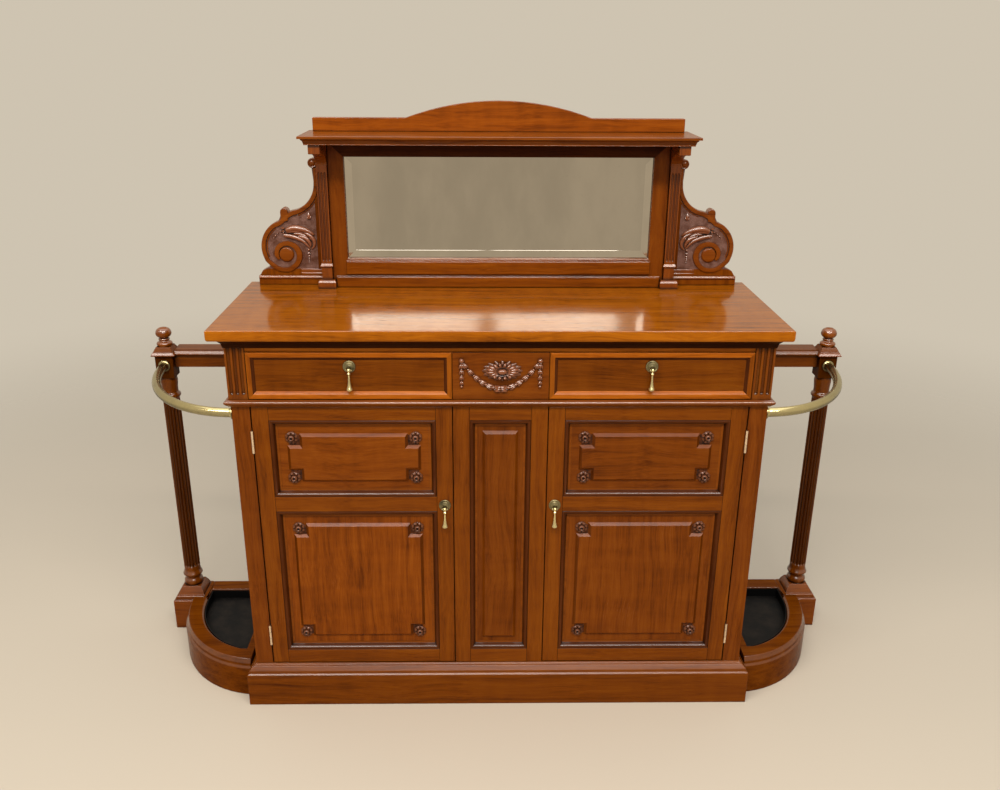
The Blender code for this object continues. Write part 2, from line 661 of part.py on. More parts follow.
def make_pull(name, across, up, face):
    """A drop pull: a rosette with two ears and a pin, and the drop that hangs on the pin."""
    seat = face + FIT
    pivot = (across, face + PIVOT_REACH, up - PIVOT_DROP)
    rim = PLATE_RADIUS
    dish = ((1.0, 0.0), (1.0, 0.4), (0.9, 0.7), (0.72, 0.5), (0.6, 1.0), (0.3, 1.3))
    profile = [(rim * r, PLATE_THICK * t) for r, t in dish]
    plate = turned(f"{name}_plate", profile, (across, seat, up), BRASS, axis="depth", sides=24)
    parts = []
    for end in (-1, 1):
        near = across + end * (BALL_RADIUS + EAR_PLAY)
        far = near + end * EAR_THICK
        ear = [(seat + PLATE_THICK * 0.25, pivot[2] - EAR_RADIUS)]
        ear += [(d, u) for d, u in arc((pivot[1], pivot[2]), EAR_RADIUS, -90, 90, 6)]
        ear += [(seat + PLATE_THICK * 0.25, pivot[2] + EAR_RADIUS)]
        parts.append(loft("ear", [[(a, d, u) for d, u in ear] for a in (near, far)], BRASS))
    reach = BALL_RADIUS + EAR_PLAY + EAR_THICK / 2
    parts.append(turned("pin", [(PULL_PIN_RADIUS, -reach), (PULL_PIN_RADIUS, reach)], pivot, BRASS,
                        axis="across", sides=10))
    combine(plate, parts, "UNION")
    ball = [(BALL_RADIUS * math.cos(math.radians(a)), BALL_RADIUS * math.sin(math.radians(a)))
            for a in (75, 45, 15, -15, -45)]
    tail = DROP_LENGTH - BALL_RADIUS
    body = [(0.55, 0.04), (0.62, 0.07), (0.34, 0.13), (0.32, 0.30), (0.42, 0.52), (0.70, 0.74), (1.0, 0.87),
            (0.93, 0.92), (0.45, 0.96), (0.35, 0.975), (0.16, 1.0)]
    stem = [(DROP_BULB * r, -BALL_RADIUS - tail * s) for r, s in body]
    drop = turned(f"{name}_drop", ball + stem, pivot, BRASS, sides=16)
    drill = turned("drill", [(PULL_PIN_RADIUS + PULL_PIN_PLAY, -2 * BALL_RADIUS),
                             (PULL_PIN_RADIUS + PULL_PIN_PLAY, 2 * BALL_RADIUS)], pivot, BRASS,
                   axis="across", sides=10)
    combine(drop, [drill], "DIFFERENCE")
    return plate, drop, pivot


def make_frieze_panel():
    return [box("frieze_panel", (-CENTRE_HALF, CENTRE_HALF), (DRAWER_BACK, FRIEZE_FACE),
                (FRIEZE_LOW, FRIEZE_TOP - FIT), FIGURED)]


def make_drawer_divider():
    """Two guide boards behind the frieze panel, tied by a cross piece at the back."""
    rail_back = CARCASS_DEPTH - TOP_RAIL_DEPTH
    inside = CENTRE_HALF - DIVIDER_THICK
    back = BACK_FACE + FIT

    def is_solid(across, depth, up):
        guide = abs(across) > inside and (up < FRIEZE_TOP or depth < rail_back)
        return guide or (depth < back + DIVIDER_THICK and up < FRIEZE_TOP)

    return [cell_block("drawer_divider", (-CENTRE_HALF, -inside, inside, CENTRE_HALF),
                       (back, back + DIVIDER_THICK, rail_back - FIT, DRAWER_BACK - FIT),
                       (FRIEZE_LOW, FRIEZE_TOP - FIT, COVE_TOP), is_solid, LINING)]


def make_drawer(side):
    across = sorted((side * DRAWER_INNER, side * DRAWER_OUTER))
    ups = (DRAWER_LOW, DRAWER_TOP)
    edge = [(0, DRAWER_BACK), (0, FRIEZE_FACE - BEAD_SINK * 0.4), (BEAD_WIDTH * 0.2, FRIEZE_FACE),
            (BEAD_WIDTH * 0.65, FRIEZE_FACE), (BEAD_WIDTH, FRIEZE_FACE - BEAD_SINK)]
    loops = [panel_loop(across, ups, inset, depth) for inset, depth in edge]
    front = loft(side_name(side, "drawer_front"), loops, FIGURED)
    low, high = across[0] + DRAWER_SIDE_SPACE, across[1] - DRAWER_SIDE_SPACE
    back = BACK_FACE + DRAWER_BACK_SPACE
    floor = WAIST_TOP + FIT
    acrosses = (low, low + DRAWER_WALL, high - DRAWER_WALL, high)
    tray = cell_block(side_name(side, "drawer_box"), acrosses,
                      (back, back + DRAWER_WALL, DRAWER_BACK - FIT),
                      (floor, floor + DRAWER_BOTTOM, DRAWER_TOP - DRAWER_HEADROOM),
                      lambda a, d, u: u < floor + DRAWER_BOTTOM or d < back + DRAWER_WALL
                      or not acrosses[1] < a < acrosses[2], LINING)
    return [front, tray]


def make_mirror():
    """Mirror frame with its step and sill, the bevelled glass and its backboard."""
    step_half = BASE_IN - FIT
    grow = MIRROR_REBATE
    low, high = SIGHT_LOW, SIGHT_TOP
    sill = (TOP_HEIGHT + SILL_LOW, TOP_HEIGHT + SILL_TOP)
    sill_half = SIGHT_HALF + grow / 3
    acrosses = [FRAME_HALF, step_half, SIGHT_HALF + grow, sill_half, SIGHT_HALF]
    acrosses = sorted(acrosses + [-a for a in acrosses])
    ups = sorted((BACK_LOW, TOP_HEIGHT + STEP_HEIGHT, *sill, low - grow, low, high, high + grow,
                  CORNICE_LOW - FIT))

    def is_solid(across, depth, up):
        a = abs(across)
        if depth > FRAME_FACE:
            step = up < TOP_HEIGHT + STEP_HEIGHT and a < step_half
            return step or (sill[0] < up < sill[1] and a < sill_half)
        more = grow if depth < REBATE_FACE else 0
        return not (a < SIGHT_HALF + more and low - more < up < high + more)

    depths = (FRAME_BACK, REBATE_FACE, FRAME_FACE, FRAME_FACE + SILL_PROUD)
    frame = cell_block("mirror_frame", acrosses, depths, ups, is_solid, WALNUT)
    across = (-SIGHT_HALF - grow + FIT, SIGHT_HALF + grow - FIT)
    ups = (low - grow + FIT, high + grow - FIT)
    face = REBATE_FACE - FIT
    edge = ((0, face - MIRROR_THICK), (0, face - MIRROR_BEVEL_DROP), (grow, face - MIRROR_BEVEL_DROP),
            (grow + MIRROR_BEVEL, face))
    glass = loft("mirror_glass", [panel_loop(across, ups, inset, depth) for inset, depth in edge], GLASS)
    board = box("mirror_backboard", across, (FRAME_BACK + FIT, face - MIRROR_THICK - FIT), ups, LINING)
    return [frame, glass, board]


def make_pilasters():
    """Fluted pilasters with a base block and a corbel that carries the cornice shelf."""
    made = []
    reach = CORNICE_DEPTH - CORNICE_STEP - CORBEL_INSET
    top = CORNICE_LOW - FIT
    chin = top - CORBEL_HEIGHT
    for side in (-1, 1):
        acrosses = sorted(side * a for a in (BASE_IN, PILASTER_IN, PILASTER_OUT, BASE_OUT))
        shaft = cell_block(side_name(side, "pilaster"), acrosses,
                           (FRAME_BACK, FRAME_FACE + FIT, PILASTER_DEPTH, BASE_BLOCK_DEPTH),
                           (BACK_LOW, TOP_HEIGHT + BASE_BLOCK_HEIGHT, top),
                           lambda a, d, u: (PILASTER_IN < abs(a) < PILASTER_OUT and d < PILASTER_DEPTH)
                           or (d > FRAME_FACE + FIT and u < TOP_HEIGHT + BASE_BLOCK_HEIGHT), WALNUT)
        rods = flute_cutters(side * PILASTER_MID, PILASTER_WIDTH, PILASTER_DEPTH,
                             (SIGHT_LOW - FLUTE_MARGIN, chin - CORBEL_SWEEP))
        combine(shaft, rods, "DIFFERENCE")
        sweep = [(PILASTER_DEPTH + (reach - PILASTER_DEPTH) * (1 - math.cos(math.radians(a))),
                  chin - CORBEL_SWEEP * (1 - math.sin(math.radians(a)))) for a in (0, 25, 50, 75)]
        root = (FRAME_FACE + PILASTER_DEPTH) / 2
        outline = [(root, chin - CORBEL_SWEEP), *sweep, (reach, chin), (reach, top), (root, top)]
        ends = (side * (PILASTER_IN + FIT), side * (PILASTER_OUT - FIT))
        corbel = loft("corbel", [[(a, d, u) for d, u in outline] for a in ends], WALNUT)
        made.append(combine(shaft, [corbel], "UNION"))
    return made


def bracket_outline():
    """Half outline of a scroll bracket: step, cyma, round scroll, spur, sweep, neck and roll."""
    step = (BRACKET_STEP_REACH, BRACKET_STEP_HEIGHT)
    scroll = arc((SCROLL_OUT, SCROLL_UP), SCROLL_RADIUS, -42, 70, 12)
    cyma_start = scroll[0]
    points = [(0, BRACKET_STEP_HEIGHT / 2), (step[0] * 0.5, BRACKET_STEP_HEIGHT / 2),
              (step[0] - BRACKET_TOE, BRACKET_STEP_HEIGHT / 2), (step[0] - BRACKET_TOE, step[1] + ARRIS),
              ((2 * step[0] + cyma_start[0]) / 3, step[1] + (cyma_start[1] - step[1]) * 0.55)]
    points += scroll
    spur = SPUR_WIDTH / 2
    points.append((SPUR_OUT + spur, SPUR_UP - spur * 2))
    points += arc((SPUR_OUT, SPUR_UP - spur), spur, 0, 180, 6)
    points += arc((NECK_WIDTH + SWEEP_RADIUS, SWEEP_UP), SWEEP_RADIUS, 262, 180, 9)
    roll = (NECK_WIDTH, ROLL_UP)
    points += arc(roll, ROLL_RADIUS, -75, 120, 9)
    points.append((0, ROLL_UP + ROLL_RADIUS * 0.85))
    return points


def make_brackets():
    made = []
    seat = PILASTER_OUT + FIT
    face = BRACKET_BACK + BRACKET_THICK
    for side in (-1, 1):
        outline = [(side * (seat + out), TOP_HEIGHT + up) for out, up in bracket_outline()]
        board = loft(side_name(side, "scroll_bracket"),
                     [[(a, d, u) for a, u in outline] for d in (BRACKET_BACK, face)], WALNUT)
        step = box("step", (side * seat, side * (seat + BRACKET_STEP_REACH)),
                   (BRACKET_BACK, face + BRACKET_STEP_PROUD), (BACK_LOW, TOP_HEIGHT + BRACKET_STEP_HEIGHT),
                   WALNUT)
        made.append(combine(board, [step], "UNION"))
    return made


def make_cornice():
    """Shelf with a moulded edge over the mirror, and the arched gallery that stands on it."""
    edge = [(0, 1.0), (0.12, 0.88), (0.2, 0.84), (0.45, 0.72), (0.62, 0.42), (0.66, 0.2), (0.7, 0.0),
            (0.95, 0.0), (1.0, 0.1)]
    loops = []
    for up, share in edge:
        inset = CORNICE_STEP * share
        loops.append(rectangle(CORNICE_HALF - inset, BRACKET_BACK, CORNICE_DEPTH - inset,
                               CORNICE_LOW + CORNICE_THICK * up))
    shelf = loft("cornice_shelf", loops, WALNUT)
    half = CORNICE_HALF - GALLERY_INSET
    foot = CORNICE_TOP + FIT
    shoulder = foot + GALLERY_SHOULDER
    spring = GALLERY_ARCH / 2
    radius = (spring ** 2 + GALLERY_RISE ** 2) / (2 * GALLERY_RISE)
    swing = math.degrees(math.asin(spring / radius))
    crown = arc((0, shoulder + GALLERY_RISE - radius), radius, 90 - swing, 90 + swing, 16)
    outline = [(-half, foot), (half, foot), (half, shoulder), *crown, (-half, shoulder)]
    gallery = loft("gallery_board", [[(a, d, u) for a, u in outline]
                                     for d in (GALLERY_BACK, GALLERY_BACK + GALLERY_THICK)], FIGURED)
    return [shelf, gallery]


def make_post(side):
    """Stick-stand post: stepped foot, turned and fluted shaft, square block, cap and finial."""
    centre = (side * POST_ACROSS, POST_DEPTH, 0)
    foot_half = FOOT_WIDTH / 2
    step_top = FOOT_HEIGHT + FOOT_STEP_HEIGHT
    first, second, third = (foot_half - FOOT_STEP_INSET * k for k in (1, 2, 3))
    steps = [(0, foot_half), (FOOT_HEIGHT - ARRIS, foot_half), (FOOT_HEIGHT, foot_half - ARRIS),
             (FOOT_HEIGHT, first), (step_top - ARRIS, first), (step_top, first - ARRIS), (step_top, second),
             (step_top + FOOT_CAP_HEIGHT * 0.6, second - ARRIS), (step_top + FOOT_CAP_HEIGHT, third)]
    base = step_top + FOOT_CAP_HEIGHT - 2 * ARRIS
    low_turning = [(1.35, 0.0), (1.35, 0.10), (1.45, 0.20), (1.35, 0.31), (1.08, 0.38), (1.08, 0.46),
                   (1.28, 0.56), (1.28, 0.66), (1.05, 0.76), (1.0, 0.90), (1.0, 1.0)]
    high_turning = [(1.0, 0.0), (1.0, 0.06), (1.18, 0.14), (1.18, 0.24), (0.94, 0.32), (0.95, 0.5),
                    (1.03, 0.78), (0.96, 0.95)]
    profile = [(SHAFT_RADIUS * r, base + (SHAFT_FOOT - base) * u) for r, u in low_turning]
    profile += [(SHAFT_RADIUS * r, SHAFT_TOP + (BLOCK_LOW - SHAFT_TOP) * u) for r, u in high_turning]
    profile.append((SHAFT_RADIUS * high_turning[-1][0], BLOCK_LOW + ARRIS))
    post = turned(side_name(side, "stand_post"), profile, centre, WALNUT, sides=2 * SHAFT_FLUTES,
                  flutes=(SHAFT_FOOT, SHAFT_TOP))
    foot = loft("foot", [square_loop(*centre[:2], half, up) for up, half in steps], WALNUT)
    block_half, cap_half = BLOCK_WIDTH / 2, CAP_WIDTH / 2
    cap_top = BLOCK_TOP + CAP_THICK
    head = [(BLOCK_LOW, block_half), (BLOCK_TOP, block_half), (BLOCK_TOP, cap_half - ARRIS),
            (BLOCK_TOP + ARRIS, cap_half), (cap_top - ARRIS, cap_half), (cap_top, cap_half - ARRIS),
            (cap_top + CAP_RISE, cap_half - CAP_SLOPE)]
    block = loft("block", [square_loop(*centre[:2], half, up) for up, half in head], WALNUT)
    low = cap_top + CAP_RISE - ARRIS
    rise = POST_TOP - low
    knob = [(0.90, 0.0), (0.95, 0.09), (1.0, 0.16), (0.93, 0.24), (0.66, 0.31), (0.70, 0.38), (0.66, 0.43),
            (0.55, 0.48), (0.84, 0.55), (0.98, 0.66), (1.0, 0.74), (0.9, 0.86), (0.62, 0.96), (0.25, 1.0)]
    knob = [(FINIAL_RADIUS * r, low + rise * u) for r, u in knob]
    finial = turned("finial", knob, centre, WALNUT, sides=24)
    return combine(post, [foot, block, finial], "UNION")


def make_stand_rail(side):
    """Top rail from the carcass side to the post block, with a moulded cap that ends at the post's cap."""
    top, front, back = STAND_RAIL_TOP, STAND_RAIL_FRONT, STAND_RAIL_BACK
    face = front - STAND_CAP_REACH
    cap = top - STAND_CAP_THICK
    start = side * (HALF + FIT)
    rail = box(side_name(side, "stand_top_rail"), (start, side * (POST_ACROSS - BLOCK_WIDTH / 2 - FIT)),
               (face - STAND_RAIL_THICK, face), (STAND_RAIL_LOW, BLOCK_TOP - FIT), WALNUT)
    heart = face - STAND_RAIL_THICK / 2
    outline = [(heart, cap - STAND_CAP_THICK), (face + FIT, cap - STAND_CAP_THICK),
               (face + STAND_CAP_REACH / 2, cap - STAND_CAP_THICK / 2), (front, cap), (front, top - ARRIS),
               (front - ARRIS, top), (back, top), (back, cap), (heart, cap)]
    ends = (start, side * (POST_ACROSS - CAP_WIDTH / 2 - FIT))
    moulded = loft("cap", [[(a, d, u) for d, u in outline] for a in ends], WALNUT)
    return combine(rail, [moulded], "UNION")


def make_brass_rail(side):
    """Quarter-oval brass tube from the post block to the carcass side, with a flange at each end."""
    start = POST_DEPTH + BLOCK_WIDTH / 2
    span, reach = POST_OFFSET, TUBE_REACH - start
    turns = 18
    stations = []
    for k in range(turns + 1):
        angle = math.pi / 2 * k / turns
        at = (HALF + span * math.cos(angle), start + reach * math.sin(angle))
        normal = Vector((reach * math.cos(angle), span * math.sin(angle))).normalized()
        stations.append((at, normal, TUBE_RADIUS))
    post_end, side_end = stations[0], stations[-1]
    first, last = Vector((POST_ACROSS, start)), Vector((HALF, TUBE_REACH))
    flange = ((FIT, FLANGE_RADIUS), (FLANGE_THICK * 0.7, FLANGE_RADIUS), (FLANGE_THICK, FLANGE_RADIUS * 0.9),
              (FLANGE_THICK, TUBE_RADIUS))
    head = [((first.x, first.y + away), post_end[1], radius) for away, radius in flange]
    tail = [((last.x + away, last.y), side_end[1], radius) for away, radius in reversed(flange)]
    loops = []
    for (across, depth), normal, radius in head + stations[1:-1] + tail:
        loop = []
        for k in range(14):
            angle = 2 * math.pi * k / 14
            out = radius * math.cos(angle)
            loop.append((side * (across + normal.x * out), depth + normal.y * out,
                         TUBE_LEVEL + radius * math.sin(angle)))
        loops.append(loop)
    return loft(side_name(side, "brass_rail"), loops, BRASS, smooth=True)


def kerb_plan(inset):
    """Outer plan of the kerb, drawn in from its curved face: plinth, back, foot notch and quarter oval."""
    front = KERB_FRONT - KERB_TURN - inset
    reach = KERB_REACH - inset
    foot_side, foot_front = FOOT_IN - FIT, POST_DEPTH + FOOT_WIDTH / 2 + FIT
    end = math.acos((KERB_IN - HALF) / reach)
    points = [(KERB_IN, KERB_BACK), (foot_side, KERB_BACK), (foot_side, foot_front),
              (HALF + reach, foot_front)]
    for k in range(19):
        angle = end * k / 18
        points.append((HALF + reach * math.cos(angle), KERB_TURN + front * math.sin(angle)))
    return points


def well_plan(inset):
    """Plan of the tray well in the kerb, with one point for each point of the kerb's outer plan."""
    front = KERB_FRONT - KERB_TURN - KERB_WIDTH - inset
    reach = KERB_REACH - KERB_WIDTH - inset
    back = KERB_BACK + KERB_WIDTH * 0.9 + inset
    near = KERB_IN + KERB_SIDE + inset
    end = math.acos((near - HALF) / reach)
    points = [(near, back), (HALF + reach, back), (HALF + reach, (2 * back + KERB_TURN) / 3),
              (HALF + reach, (back + 2 * KERB_TURN) / 3)]
    for k in range(19):
        angle = end * k / 18
        points.append((HALF + reach * math.cos(angle), KERB_TURN + front * math.sin(angle)))
    return points


def levelled(side, plan, up):
    return [(side * across, depth, up) for across, depth in plan]


def make_kerb(side):
    """Base frame of a stick stand, with a ledge for its drip tray."""
    drop = KERB_HEIGHT - KERB_FACE
    edge = [(0, 0), (KERB_FACE, 0), (KERB_FACE + drop * 0.2, KERB_NOSE * 0.5),
            (KERB_FACE + drop * 0.5, KERB_NOSE * 0.55), (KERB_FACE + drop * 0.8, KERB_NOSE),
            (KERB_HEIGHT, KERB_NOSE * 1.2)]
    loops = [levelled(side, kerb_plan(inset), up) for up, inset in edge]
    loops += [levelled(side, well_plan(0), KERB_HEIGHT), levelled(side, well_plan(0), LEDGE_LEVEL),
              levelled(side, well_plan(KERB_LEDGE), LEDGE_LEVEL), levelled(side, well_plan(KERB_LEDGE), 0)]
    return loft(side_name(side, "stand_kerb"), loops, WALNUT, ring=True)


def make_tray(side):
    low, rim = LEDGE_LEVEL + FIT, KERB_HEIGHT - TRAY_RIM_BELOW
    outer, inner = well_plan(TRAY_GAP), well_plan(TRAY_GAP + TRAY_WALL)
    loops = [levelled(side, outer, low), levelled(side, outer, rim), levelled(side, inner, rim),
             levelled(side, inner, low + TRAY_WALL)]
    return loft(side_name(side, "drip_tray"), loops, IRON)


def carry(name, at, pieces):
    """Hang pieces on an empty that stands on their joint's axis."""
    pivot = bpy.data.objects.new(name, None)
    pivot.location = at
    bpy.context.scene.collection.objects.link(pivot)
    bpy.context.view_layer.update()
    for piece in pieces:
        piece.parent = pivot
        piece.matrix_parent_inverse = pivot.matrix_world.inverted()
    return pivot


def hang_pull(name, across, up, pieces):
    """Add a drop pull: its plate joins the pieces it is fixed to, and its drop swings on the pin."""
    face = FRIEZE_FACE - BEAD_SINK if "drawer" in name else CARCASS_DEPTH
    plate, drop, pivot = make_pull(name, across, up, face)
    pieces.append(plate)
    return carry(f"{name}_pin", place(*pivot), [drop])


def make_moving_front(side):
    """One side's door on its hinges and its drawer, each with its pull."""
    door = make_door(side)
    for where, level in (("upper", DOOR_TOP - HINGE_FROM_TOP - HINGE_LENGTH / 2),
                         ("lower", DOOR_LOW + HINGE_FROM_FOOT + HINGE_LENGTH / 2)):
        door.append(make_hinge(side, level, where)[1])
    pull_across = side * (DOOR_INNER + DOOR_PULL_INSET)
    door_pin = hang_pull(side_name(side, "door_pull"), pull_across, DOOR_PULL_HEIGHT, door)
    hinge_foot = place(side * HINGE_LINE, HINGE_DEPTH, DOOR_LOW)
    hinge_line = carry(side_name(side, "door_hinge_line"), hinge_foot, door)
    drawer = make_drawer(side)
    middle = side * (DRAWER_INNER + DRAWER_OUTER) / 2
    pull_up = (DRAWER_LOW + DRAWER_TOP) / 2 + DRAWER_PULL_ABOVE
    drawer_pin = hang_pull(side_name(side, "drawer_pull"), middle, pull_up, drawer)
    slide = carry(side_name(side, "drawer_slide"), place(middle, FRIEZE_FACE, DRAWER_LOW), drawer)
    for pin, parent in ((door_pin, hinge_line), (drawer_pin, slide)):
        pin.parent = parent
        pin.matrix_parent_inverse = parent.matrix_world.inverted()


def make_stand(side):
    make_post(side)
    make_stand_rail(side)
    make_brass_rail(side)
    make_kerb(side)
    tray = make_tray(side)
    seat = place(side * (HALF + KERB_REACH / 2), KERB_TURN, LEDGE_LEVEL)
    carry(side_name(side, "drip_tray_lift"), seat, [tray])


def main():
    for item in list(bpy.data.objects):
        bpy.data.objects.remove(item)
    make_plinth()
    make_sides()
    make_boards()
    make_waist_board()
    make_front_stiles()
    make_centre_frame()
    make_frieze_panel()
    make_drawer_divider()
    make_top_moulding()
    make_top_board()
    make_mirror()
    make_pilasters()
    make_brackets()
    make_cornice()
    for side in (-1, 1):
        make_moving_front(side)
        make_stand(side)


main()
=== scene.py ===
"""Looks of a walnut hall cupboard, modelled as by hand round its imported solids.

Metres, +Z up, front towards -Y. Every finished piece keeps its place in its mesh.
"""
import math

import bmesh
import bpy
from bpy.props import FloatProperty, FloatVectorProperty, IntProperty, PointerProperty
from mathutils import Matrix, Vector


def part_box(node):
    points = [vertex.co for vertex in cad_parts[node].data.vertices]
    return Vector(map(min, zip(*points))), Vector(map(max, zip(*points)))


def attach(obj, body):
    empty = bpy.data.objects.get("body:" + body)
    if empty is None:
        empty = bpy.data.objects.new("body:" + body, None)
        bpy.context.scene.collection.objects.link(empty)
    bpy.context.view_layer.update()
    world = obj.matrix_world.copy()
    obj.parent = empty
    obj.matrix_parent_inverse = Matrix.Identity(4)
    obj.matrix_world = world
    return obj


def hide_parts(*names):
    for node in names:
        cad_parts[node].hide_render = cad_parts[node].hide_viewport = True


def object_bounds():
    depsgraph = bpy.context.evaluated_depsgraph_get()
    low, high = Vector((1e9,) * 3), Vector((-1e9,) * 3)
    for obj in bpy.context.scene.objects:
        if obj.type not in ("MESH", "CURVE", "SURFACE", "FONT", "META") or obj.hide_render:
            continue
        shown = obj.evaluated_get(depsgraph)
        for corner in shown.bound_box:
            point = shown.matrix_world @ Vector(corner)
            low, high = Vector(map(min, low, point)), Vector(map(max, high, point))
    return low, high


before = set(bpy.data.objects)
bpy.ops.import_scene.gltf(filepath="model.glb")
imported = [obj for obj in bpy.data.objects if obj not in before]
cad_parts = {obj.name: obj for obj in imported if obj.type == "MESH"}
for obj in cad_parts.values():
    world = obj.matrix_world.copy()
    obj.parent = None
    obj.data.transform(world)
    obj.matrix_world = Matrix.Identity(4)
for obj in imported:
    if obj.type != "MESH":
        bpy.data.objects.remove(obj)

bl_info = {
    "name": "Hall Cupboard",
    "version": (1, 0, 0),
    "blender": (4, 5, 0),
    "location": "View3D > Sidebar > Cupboard",
    "description": "Models and finishes a walnut hall cupboard round its packed solids",
    "category": "Add Mesh",
}

CAD_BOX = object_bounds()
WALL = CAD_BOX[1].y
SIDES = (("left", -1), ("right", 1))
HERE = (0, 0, 0)
FORWARD = (0, -1, 0)
UPWARD = (0, 0, 1)
MIRRORED = Matrix.Diagonal((-1, 1, 1, 1))


def length(name, description, default):
    """A size that a user may change, in metres."""
    return FloatProperty(name=name, description=description, default=default, unit="LENGTH", precision=4)


def colour(name, description, default):
    """A colour that a user may change."""
    return FloatVectorProperty(name=name, description=description, default=default, subtype="COLOR",
                               size=3, min=0.0, max=1.0)


def tilt(name, description, degrees):
    """A turn of the camera that a user may change."""
    return FloatProperty(name=name, description=description, default=math.radians(degrees), subtype="ANGLE")


def amount(name, description, default, least=0.0):
    """A plain number that a user may change."""
    return FloatProperty(name=name, description=description, default=default, min=least)


class CupboardSizes(bpy.types.PropertyGroup):
    """Sizes of the joined, turned and carved work"""

    arris: length("Arris", "Width of the eased edge on boards", 0.0008)
    stile: length("Door stile", "Width of the upright members of a door", 0.035)
    top_rail: length("Door top rail", "Height of the top member of a door", 0.031)
    middle_rail: length("Door middle rail", "Height of the middle member of a door", 0.036)
    low_rail: length("Door low rail", "Height of the bottom member of a door", 0.034)
    upper_sight: length("Upper panel height", "Clear height of the upper panel of a door", 0.178)
    moulding: length("Panel moulding", "Width of the moulding round a sunk panel", 0.016)
    sink: length("Panel sink", "Depth of a sunk panel behind its frame", 0.0098)
    bead: length("Drawer bead", "Width of the flat bead round a drawer", 0.0088)
    rosette: length("Rosette radius", "Radius of the carved rosettes on the doors", 0.0140)
    plate: length("Pull plate radius", "Radius of the plate of a drop pull", 0.013)
    drop: length("Drop length", "Length of the drop of a pull under its pin", 0.046)
    post: length("Post radius", "Radius of the fluted post of a stick stand", 0.020)
    flute: length("Flute depth", "Depth of the flutes in a post", 0.0036)
    tube: length("Rail tube radius", "Radius of the bowed brass rail", 0.010)
    flutes: IntProperty(name="Flutes", description="Number of flutes round a post", default=16, min=6, max=24)


class CupboardColours(bpy.types.PropertyGroup):
    """Colours of the finishes"""

    panel_wood: colour("Panel walnut", "Main colour of the panels and drawer fronts", (0.200, 0.0445, 0.0018))
    frame_wood: colour("Frame walnut", "Main colour of stiles, rails and mouldings", (0.178, 0.041, 0.001))
    sunned_wood: colour("Sunned walnut", "Main colour of the faded top and gallery", (0.312, 0.084, 0.002))
    bead_wood: colour("Bead walnut", "Main colour of the flat beads round the drawers", (0.310, 0.076, 0.003))
    dark_wood: colour("Dark walnut", "Main colour of the posts and brackets", (0.115, 0.027, 0.004))
    carved_wood: colour("Carved walnut", "Main colour of flowers, leaves and husks", (0.225, 0.070, 0.024))
    # Old polish, also used as painted shade in corners and recesses
    polish_and_shade_tone: colour("Old polish", "Dark polish that gathers in corners", (0.012, 0.003, 0.001))
    ground: colour("Punched ground", "Dull ground behind the carving", (0.262, 0.124, 0.088))
    lining: colour("Lining wood", "Unpolished softwood of drawers and back", (0.42, 0.27, 0.14))
    brass: colour("Brass", "Clean metal of pulls and rails", (0.72, 0.61, 0.31))
    pale_brass: colour("Pale brass", "Clean metal of the hinges", (0.86, 0.68, 0.48))
    # Also painted as shade on the underside and far bend of the rails
    tarnish_and_shade: colour("Brass tarnish", "Brown film in the hollows of the brass", (0.085, 0.074, 0.042))
    glass: colour("Mirror", "Tint of the old silvered glass", (0.50, 0.44, 0.355))
    specks: colour("Mirror specks", "Tint of the specks in the old silver", (0.35, 0.33, 0.26))
    iron: colour("Iron", "Black paint of the drip trays", (0.007, 0.007, 0.007))
    dust: colour("Dust", "Dust that lies in the drip trays", (0.030, 0.024, 0.019))
    # Painted shade: the walls and deep corners of the trays
    shade_black: colour("Soot", "Black of the deep corners of the drip trays", (0.001, 0.001, 0.001))
    floor: colour("Floor", "Plain pale floor", (0.62, 0.55, 0.44))


class CupboardStage(bpy.types.PropertyGroup):
    """Camera and light"""

    eye: FloatVectorProperty(name="Camera place", description="Where the camera stands", size=3,
                             default=(-0.0417, -1.9967, 1.4521), subtype="TRANSLATION")
    pitch: tilt("Pitch", "How far the camera looks down", 20.605)
    yaw: tilt("Yaw", "How far the camera turns to the right", 0.951)
    roll: tilt("Roll", "How far the camera leans over", 0.317)
    lens: amount("Lens", "Focal length on a 36 mm sensor, in millimetres", 33.64)
    shift: amount("Shift", "Sideways shift of the lens", 0.0048, -1.0)
    daylight: amount("Daylight", "Strength of the light from all round", 0.20)
    key: amount("Key", "Power of the long soft light above the front, in watts", 150.0)
    windows: amount("Windows", "Power of each of the two low soft lights, in watts", 14.0)
    ceiling: amount("Ceiling", "Power of the wide light above, in watts", 120.0)


# Shader maths


def maths(operation, reflected=False):
    """An operator of a wire and a value, made as one Math node; a reflected one has the wire on the right."""
    def operator(wire, other):
        pair = (other, wire) if reflected else (wire, other)
        return wire.recipe.add("ShaderNodeMath", {"operation": operation}, dict(enumerate(pair)))

    return operator


class Wire:
    """A socket that takes part in ordinary arithmetic; each step adds a Math node."""

    def __init__(self, recipe, socket):
        self.recipe = recipe
        self.socket = socket

    __add__ = maths("ADD")
    __radd__ = maths("ADD", reflected=True)
    __sub__ = maths("SUBTRACT")
    __rsub__ = maths("SUBTRACT", reflected=True)
    __mul__ = maths("MULTIPLY")
    __rmul__ = maths("MULTIPLY", reflected=True)
    __gt__ = maths("GREATER_THAN")

    def size(self):
        """How large the value is, without its sign."""
        return self.recipe.add("ShaderNodeMath", {"operation": "ABSOLUTE"}, {0: self})

    def ramp(self, low, high):
        """0 at low and 1 at high, eased between them."""
        settings = {"interpolation_type": "SMOOTHSTEP"}
        return self.recipe.add("ShaderNodeMapRange", settings, {0: self, 1: low, 2: high})


